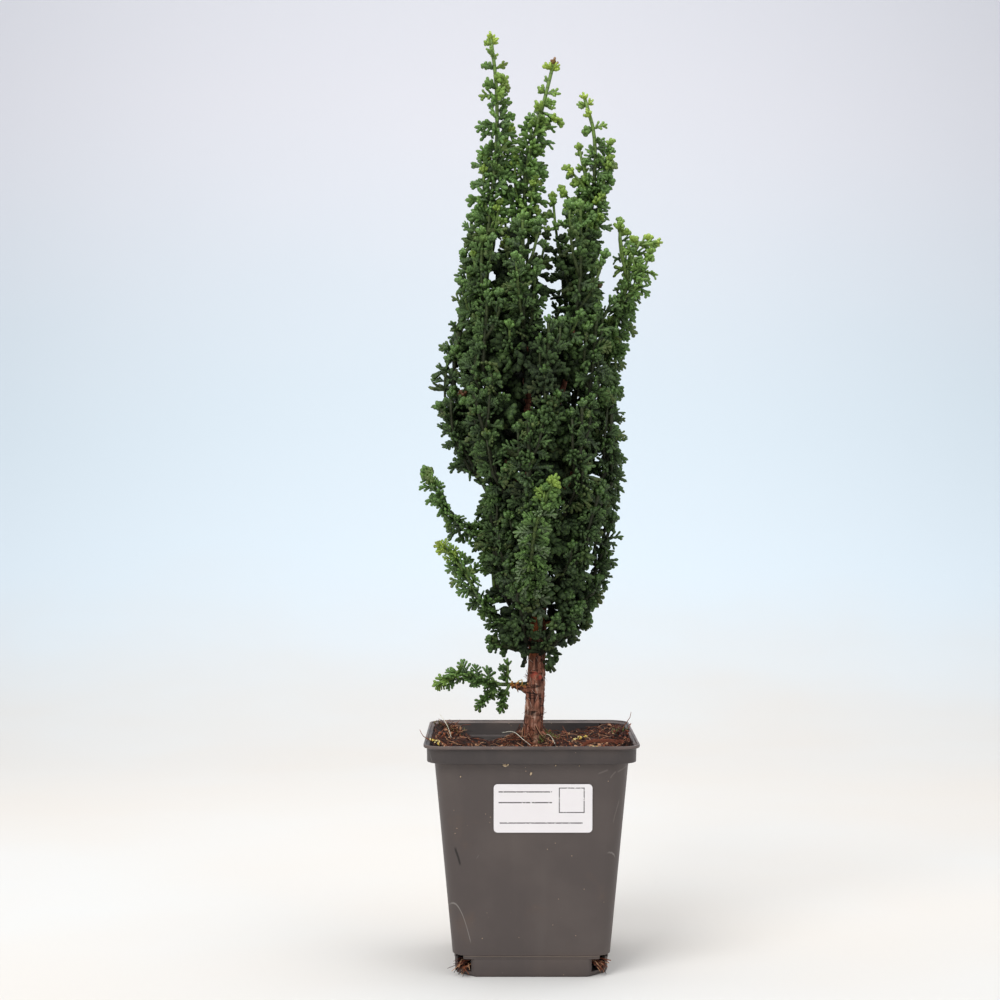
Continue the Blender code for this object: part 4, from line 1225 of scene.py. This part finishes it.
def make_drain_roots():
    """A tuft of fine roots at each of the foot's openings."""
    paint = litter_paint()
    for name, corner in CORNERS.items():
        draw = random.Random(name)
        tuft = Litter()
        outwards = Vector((*corner, 0)).normalized()
        across = Vector((-outwards.y, outwards.x, 0))
        for _ in range(DRAIN_ROOT_COUNT):
            foot = outwards * 45 * MM + across * draw.uniform(-1, 1) * 3.2 * MM
            foot.z = draw.uniform(3.5, 8.5) * MM
            reach = draw.uniform(4.5, 9.5) * MM
            sag = draw.uniform(0.5, 4) * MM
            middle = foot + outwards * reach * 0.55 + across * draw.gauss(0, 1) * MM
            tip = foot + outwards * reach + across * draw.gauss(0, 2.2) * MM - Vector((0, 0, sag))
            tip.z = max(tip.z, 0.5 * MM)
            tuft.wisp(draw, (foot, middle, tip), (0.16, 0.38), COIR_TINTS)
        tuft.bake(f"fine_roots_{name}", paint, f"drain_roots_{name}", slot="bark")


# Foliage

# The kinds of flat fan, each with its length and its pairs of lobes.
FAN_SIZES = {"hand": (8.5 * MM, 2), "spray": (12 * MM, 2), "long": (13 * MM, 3)}
KNOB_SIZE = 5.5 * MM
BUNCH_SIZE = 8.5 * MM
STALK_SCALE = 4 * MM
SIDE_SPACING = 7 * MM
NEW_REACH = 30 * MM  # how far newness reaches down from a tip
NEW_REACH_FINE = 16 * MM  # the same on a stem with fine fans
CROWN_TOP = 385 * MM  # above it the leaders stand alone
SHADE_SHARE = 1.2  # the share of the way out to the crown's outline where the painted shade of its inside ends
PLAIN_LOW, PLAIN_HIGH, PLAIN_SHARE = 175 * MM, 370 * MM, 0.55  # where in the crown fans are plain
THIN_FROM, THINNED = 315 * MM, 0.10  # above this height this share of the fans is left out
KNOB_UNDER, HAND_UNDER = 6.8 * MM, 10 * MM  # fans that would be shorter than these are knobs, or hands
SKIRT_RISE = 10 * MM  # how far above the crown's lower limit the skirt's stems keep
HOLLOW_SHADE = 2.2  # how dark the painted shade is in the middle of a hollow, where 1 and more is the darkest
HOLLOW_BACK = 10 * MM  # how far back the hollows reach


def make_foliage():
    """The kinds of fan, and each leafy stem set with them."""
    draw = random.Random(3)
    fine = model_shoot(4, FINE_RINGS, SCALE_OVERLAP)
    lobe = model_shoot(4, LOBE_RINGS, SCALE_OVERLAP)
    plain = model_shoot(4, PLAIN_RINGS)
    kinds = {name: [fan_of(fine, lobe, draw, pairs, length) for _ in range(3)]
             for name, (length, pairs) in FAN_SIZES.items()}
    kinds["knob"] = [cluster_of(lobe, draw, 4, KNOB_SIZE) for _ in range(3)]
    kinds["bunch"] = [cluster_of(lobe, draw, 6, BUNCH_SIZE) for _ in range(3)]
    kinds["fine"] = [fan_of(fine, lobe, draw, 3, 10 * MM, 1.9 * MM) for _ in range(3)]
    kinds["bud"] = [cluster_of(lobe, draw, 4, 1.35 * KNOB_SIZE) for _ in range(3)]
    kinds["inner"] = [fan_of(plain, plain, draw, 3, 9 * MM) for _ in range(2)]
    green = leaf_paint()
    for name, path, habit in leafy_stems():
        piece = grow_stem(name, path, habit, kinds)
        new = name.startswith("leader") or "bright" in name
        finished(piece, name + "_fans", green, name, slot="new foliage" if new else "old foliage")


def grow_stem(name, path, habit, kinds):
    """A leafy stem with its side stems, all set with fans."""
    draw = random.Random(name)
    growth = Growth(name)
    stalks = []
    path = [*path, path[-1] + (path[-1] - path[-2]).normalized() * (habit.longer * MM)]
    axes = [(path, 1.2 * MM, 0.95 * MM, 1)]
    length = sum((b - a).length for a, b in zip(path, path[1:]))
    rings = list(frames(path))
    for number in range(habit.side_stems):
        share = habit.bare + (habit.highest - habit.bare) * (number + 0.4) / habit.side_stems
        foot, along, side, up = rings[round(share * (len(rings) - 1))]
        turn = number * GOLDEN_ANGLE + draw.uniform(-0.4, 0.4)
        out = side * math.cos(turn) + up * math.sin(turn) * (1 - habit.flat)
        reach = min(34 * MM, 0.5 * length * (1 - share) + 12 * MM) * draw.uniform(0.85, 1.1)
        steps = ((0, 0), (0.34, 5), (0.68, 7.5), (1, 8.5))
        line = [foot + along * reach * s + out * o * habit.apart * MM for s, o in steps]
        line = smooth_path([kept_inside(p) for p in line], SIDE_SPACING)
        if not any(in_sky_gap(p) for p in line):
            axes.append((line, 0.9 * MM, 0.7 * MM, 0.8))
    for points, size in SHOULDERS.get(name, []):
        axes.append((smooth_path(metres(points), SIDE_SPACING), 0.9 * MM, 0.7 * MM, size))
    for line, thick, thin, size in axes:
        stalks.append(stalk(line, thick, thin, habit))
        set_fans(growth, line, habit, size, kinds, draw)
    return growth.bake(stalks)


def stalk(line, thick, thin, habit):
    """A stem's bare stalk, marked as such by a height below zero: green above and woody below."""
    shape = tube_shape(line, spread((thick, thin), len(line)), 6)
    steps = [0] + [(b - a).length for a, b in zip(line, line[1:])]
    reach = np.repeat(np.cumsum(steps), 6)
    from_tip = reach[-1] - reach
    newness = habit.fresh[1] + (habit.fresh[0] - habit.fresh[1]) * np.exp(-from_tip / NEW_REACH)
    # painted shade for the stalk where it runs deep in the crown
    depth = [min(0.8, max(0, SHADE_SHARE - outward_share(p))) if p.z < CROWN_TOP else 0 for p in line]
    every = np.ones(len(reach))
    shape.place = np.stack((reach / STALK_SCALE, 0.3 * every, -every), axis=1)
    return shape, np.stack((newness, 0.4 * every, np.repeat(depth, 6)), axis=1)


FURTHEST_SIDE_STEM = 0.84  # share of the way out to the crown's outline
FREE_FROM = 345 * MM  # above this height side stems may reach further


def kept_inside(point):
    """The point, drawn in where it is too near the crown's outline."""
    share = outward_share(point)
    if share <= FURTHEST_SIDE_STEM or point.z > FREE_FROM:
        return point
    return Vector((point.x * FURTHEST_SIDE_STEM / share, point.y * FURTHEST_SIDE_STEM / share, point.z))


def set_fans(growth, path, habit, scale, kinds, draw):
    """Fans in rounds along a stem, each round turned from the last, small near the stem's tip."""
    rings = list(frames(path))
    steps = [(b - a).length for a, b in zip(path, path[1:])]
    ends = np.concatenate(([0], np.cumsum(steps)))
    length = ends[-1]
    full = habit.fan * MM * scale
    fresh = habit.fresh[0] * (1 if scale == 1 else 0.7)
    bare = habit.bare if scale == 1 else 0.1
    browned = habit.browned and scale == 1
    point, along, side, _ = rings[-1]
    growth.plant(draw.choice(kinds["bud" if habit.fine else "knob"]), point - along * 1.5 * MM, along, side,
                 habit.tip_fan * MM * 1.1, 0, (fresh, BROWN_TONE if browned else draw.uniform(0, 0.9), 0))
    distance = habit.step * MM
    number = 0
    new_reach = NEW_REACH_FINE if habit.fine else NEW_REACH
    while distance < length * (1 - bare):
        index = int(np.searchsorted(ends, length - distance)) - 1
        index = min(max(index, 0), len(rings) - 2)
        share = (length - distance - ends[index]) / steps[index]
        foot = rings[index][0].lerp(rings[index + 1][0], share)
        _, along, side, up = rings[index]
        size = min(full, habit.tip_fan * MM + habit.opening * distance)
        newness = habit.fresh[1] + (fresh - habit.fresh[1]) * math.exp(-distance / new_reach)
        paired = distance < habit.in_pairs * MM
        round_of = 2 if paired else habit.round_of
        for hand in range(round_of):
            turn = (number * 0.5 + hand) * math.tau / round_of + draw.uniform(-0.4, 0.4)
            out = (side * math.cos(turn) + up * math.sin(turn) * (1 - 0.8 * habit.flat)).normalized()
            lean = math.radians(min(76, 36 + 1.5 * distance / MM) + draw.uniform(-12, 12))
            direction = along * math.cos(lean) + out * math.sin(lean)
            direction.z -= float(np.interp(foot.x, SAG_PLACES, SAGS)) * math.sin(lean)
            plant_fan(growth, foot + out * 0.5 * MM, direction, along, size * draw.uniform(0.82, 1.15),
                      newness, kinds, draw, habit)
        distance += habit.step * MM * (1.6 if paired else 1)
        number += 1


BROWN_TONE = 1.0
# the tone that gives a fan the pale streaks of painted highlight
HIGHLIGHT_STREAK_TONE = -0.6
SAG_PLACES, SAGS = (-30 * MM, 10 * MM, 45 * MM), (0.12, 0.25, 0.75)  # how much fans hang, from left to right


def plant_fan(growth, foot, direction, along, size, newness, kinds, draw, habit):
    """One fan in the plane of its stem, more or less. Deep in the crown it is plain, or left out."""
    direction.normalize()
    share = outward_share(foot)
    radial = Vector((foot.x, foot.y, 0)).normalized()
    outwards = direction.dot(radial)
    if foot.z < CROWN_TOP and share < 0.85 and outwards < -0.35:
        return
    tip = foot + direction * size
    if below_skirt(tip) or any(in_sky_gap(foot.lerp(tip, s)) for s in (0.3, 0.7, 1)):
        return
    if foot.z > THIN_FROM and draw.random() < THINNED:
        return
    tone = HIGHLIGHT_STREAK_TONE if habit.highlight_streaks and draw.random() < 0.5 else draw.uniform(0, 0.98)
    if PLAIN_LOW < foot.z < PLAIN_HIGH and share < PLAIN_SHARE:
        kind = "inner"
        size *= 1.5
    elif habit.fine:
        kind = "fine" if size > 6 * MM else "bud"
    elif size < KNOB_UNDER:
        kind = "knob"
        tone = draw.random()
    elif outwards > 0.7 and abs(direction.x) < 0.6 and draw.random() < 0.5:
        kind = "bunch"
        size *= 0.85
    elif size < HAND_UNDER and share < 0.8:
        kind = "hand"
    else:
        kind = draw.choice(("spray", "long"))
    normal = direction.cross(along).normalized()
    normal.rotate(Matrix.Rotation(draw.gauss(0, 0.75 - 0.4 * habit.flat), 3, direction))
    # painted shade for fans deep in the crown and in its hollows
    depth = min(1, max(0, SHADE_SHARE - share, hollow_painted_shade(foot))) if foot.z < CROWN_TOP else 0
    growth.plant(draw.choice(kinds[kind]), foot, direction, normal, size, draw.uniform(-0.05, 0.22),
                 (newness * draw.uniform(0.7, 1.3), tone, depth))


def skirt_height(x):
    """How low the crown hangs at the right of the trunk."""
    return 162 * MM + 0.85 * (x - 17 * MM)


def below_skirt(point):
    """Whether a place is under the crown's uneven lower limit at the right."""
    uneven = noise.noise(point / (6 * MM)) * 9 * MM
    return point.x > 12 * MM and point.z < skirt_height(point.x) + uneven


def hollow_painted_shade(point):
    """How much painted shade a leaf gets for its place in a hollow of the crown's front, and 0 or less
    outside of them.
    """
    x, z = point.x / MM, point.z / MM
    away = min(math.hypot((x - middle) / half_width, (z - height) / half_height)
               for middle, height, half_width, half_height in HOLLOWS)
    return HOLLOW_SHADE * (1 - away) if point.y < HOLLOW_BACK else 0


def in_sky_gap(point):
    """Whether a place is where the sky shows through the crown."""
    x, z = point.x / MM, point.z / MM
    return any(left < x < right and bottom < z < top for left, right, bottom, top in SKY_GAPS)


# Stage

CAMERA = Vector((-16.1, -1045, 255.6)) * MM
LENS = 70.9
SHIFT = -0.023


def make_camera():
    data = bpy.data.cameras.new("camera")
    data.sensor_width = 36
    data.lens = LENS
    data.shift_y = SHIFT
    data.clip_start = 0.02
    camera = added("camera", data)
    camera.location = CAMERA
    camera.rotation_euler = (math.pi / 2, 0, 0)
    bpy.context.scene.camera = camera


TREE_MIDDLE = Vector((0, 0, 0.25))
LIGHTS = {"key": ((-0.8, -1.3, 1.6), 1.1, 27), "fill": ((1.3, -1.0, 0.9), 1.4, 6),
          "top": ((0.2, 0.3, 1.7), 1.4, 13), "backdrop": ((0, 0.5, 2.1), 2.2, 22)}
BACKDROP_TILT = math.radians(52)


def make_lights():
    """Lights that face the tree, and one that faces the sweep behind it."""
    for name, (place, size, power) in LIGHTS.items():
        data = bpy.data.lights.new(name, "AREA")
        data.size = size
        data.energy = power
        light = added(name, data)
        light.location = place
        aim = TREE_MIDDLE - Vector(place)
        light.rotation_euler = aim.to_track_quat("-Z", "Y").to_euler()
        if name == "backdrop":
            light.rotation_euler = (BACKDROP_TILT, 0, 0)
    world = bpy.data.worlds.new("studio")
    world.use_nodes = True
    world.node_tree.nodes["Background"].inputs["Color"].default_value = (0.86, 0.92, 1.0, 1)
    world.node_tree.nodes["Background"].inputs["Strength"].default_value = 0.46
    bpy.context.scene.world = world
    bpy.context.scene.view_settings.view_transform = "Standard"


FLOOR_FRONT, FLOOR_BACK, SWEEP_RADIUS = -2.2, 0.7, 1.9


def make_floor():
    """A floor that sweeps up behind the tree, as in a photographer's light tent."""
    bpy.ops.mesh.primitive_plane_add(size=1)
    floor = opened()
    bpy.ops.transform.resize(value=(6, FLOOR_BACK - FLOOR_FRONT, 1))
    bpy.ops.transform.translate(value=(0, (FLOOR_BACK + FLOOR_FRONT) / 2, 0))
    bpy.ops.object.mode_set(mode="OBJECT")
    for vert in floor.data.vertices:
        vert.select = vert.co.y > 0
    opened()
    bpy.ops.mesh.spin(steps=24, angle=-math.pi / 2, center=(0, FLOOR_BACK, SWEEP_RADIUS), axis=(1, 0, 0))
    closed_up()
    floor.data.shade_smooth()
    floor.name = "floor"
    floor.data.materials.append(floor_paint())


main()
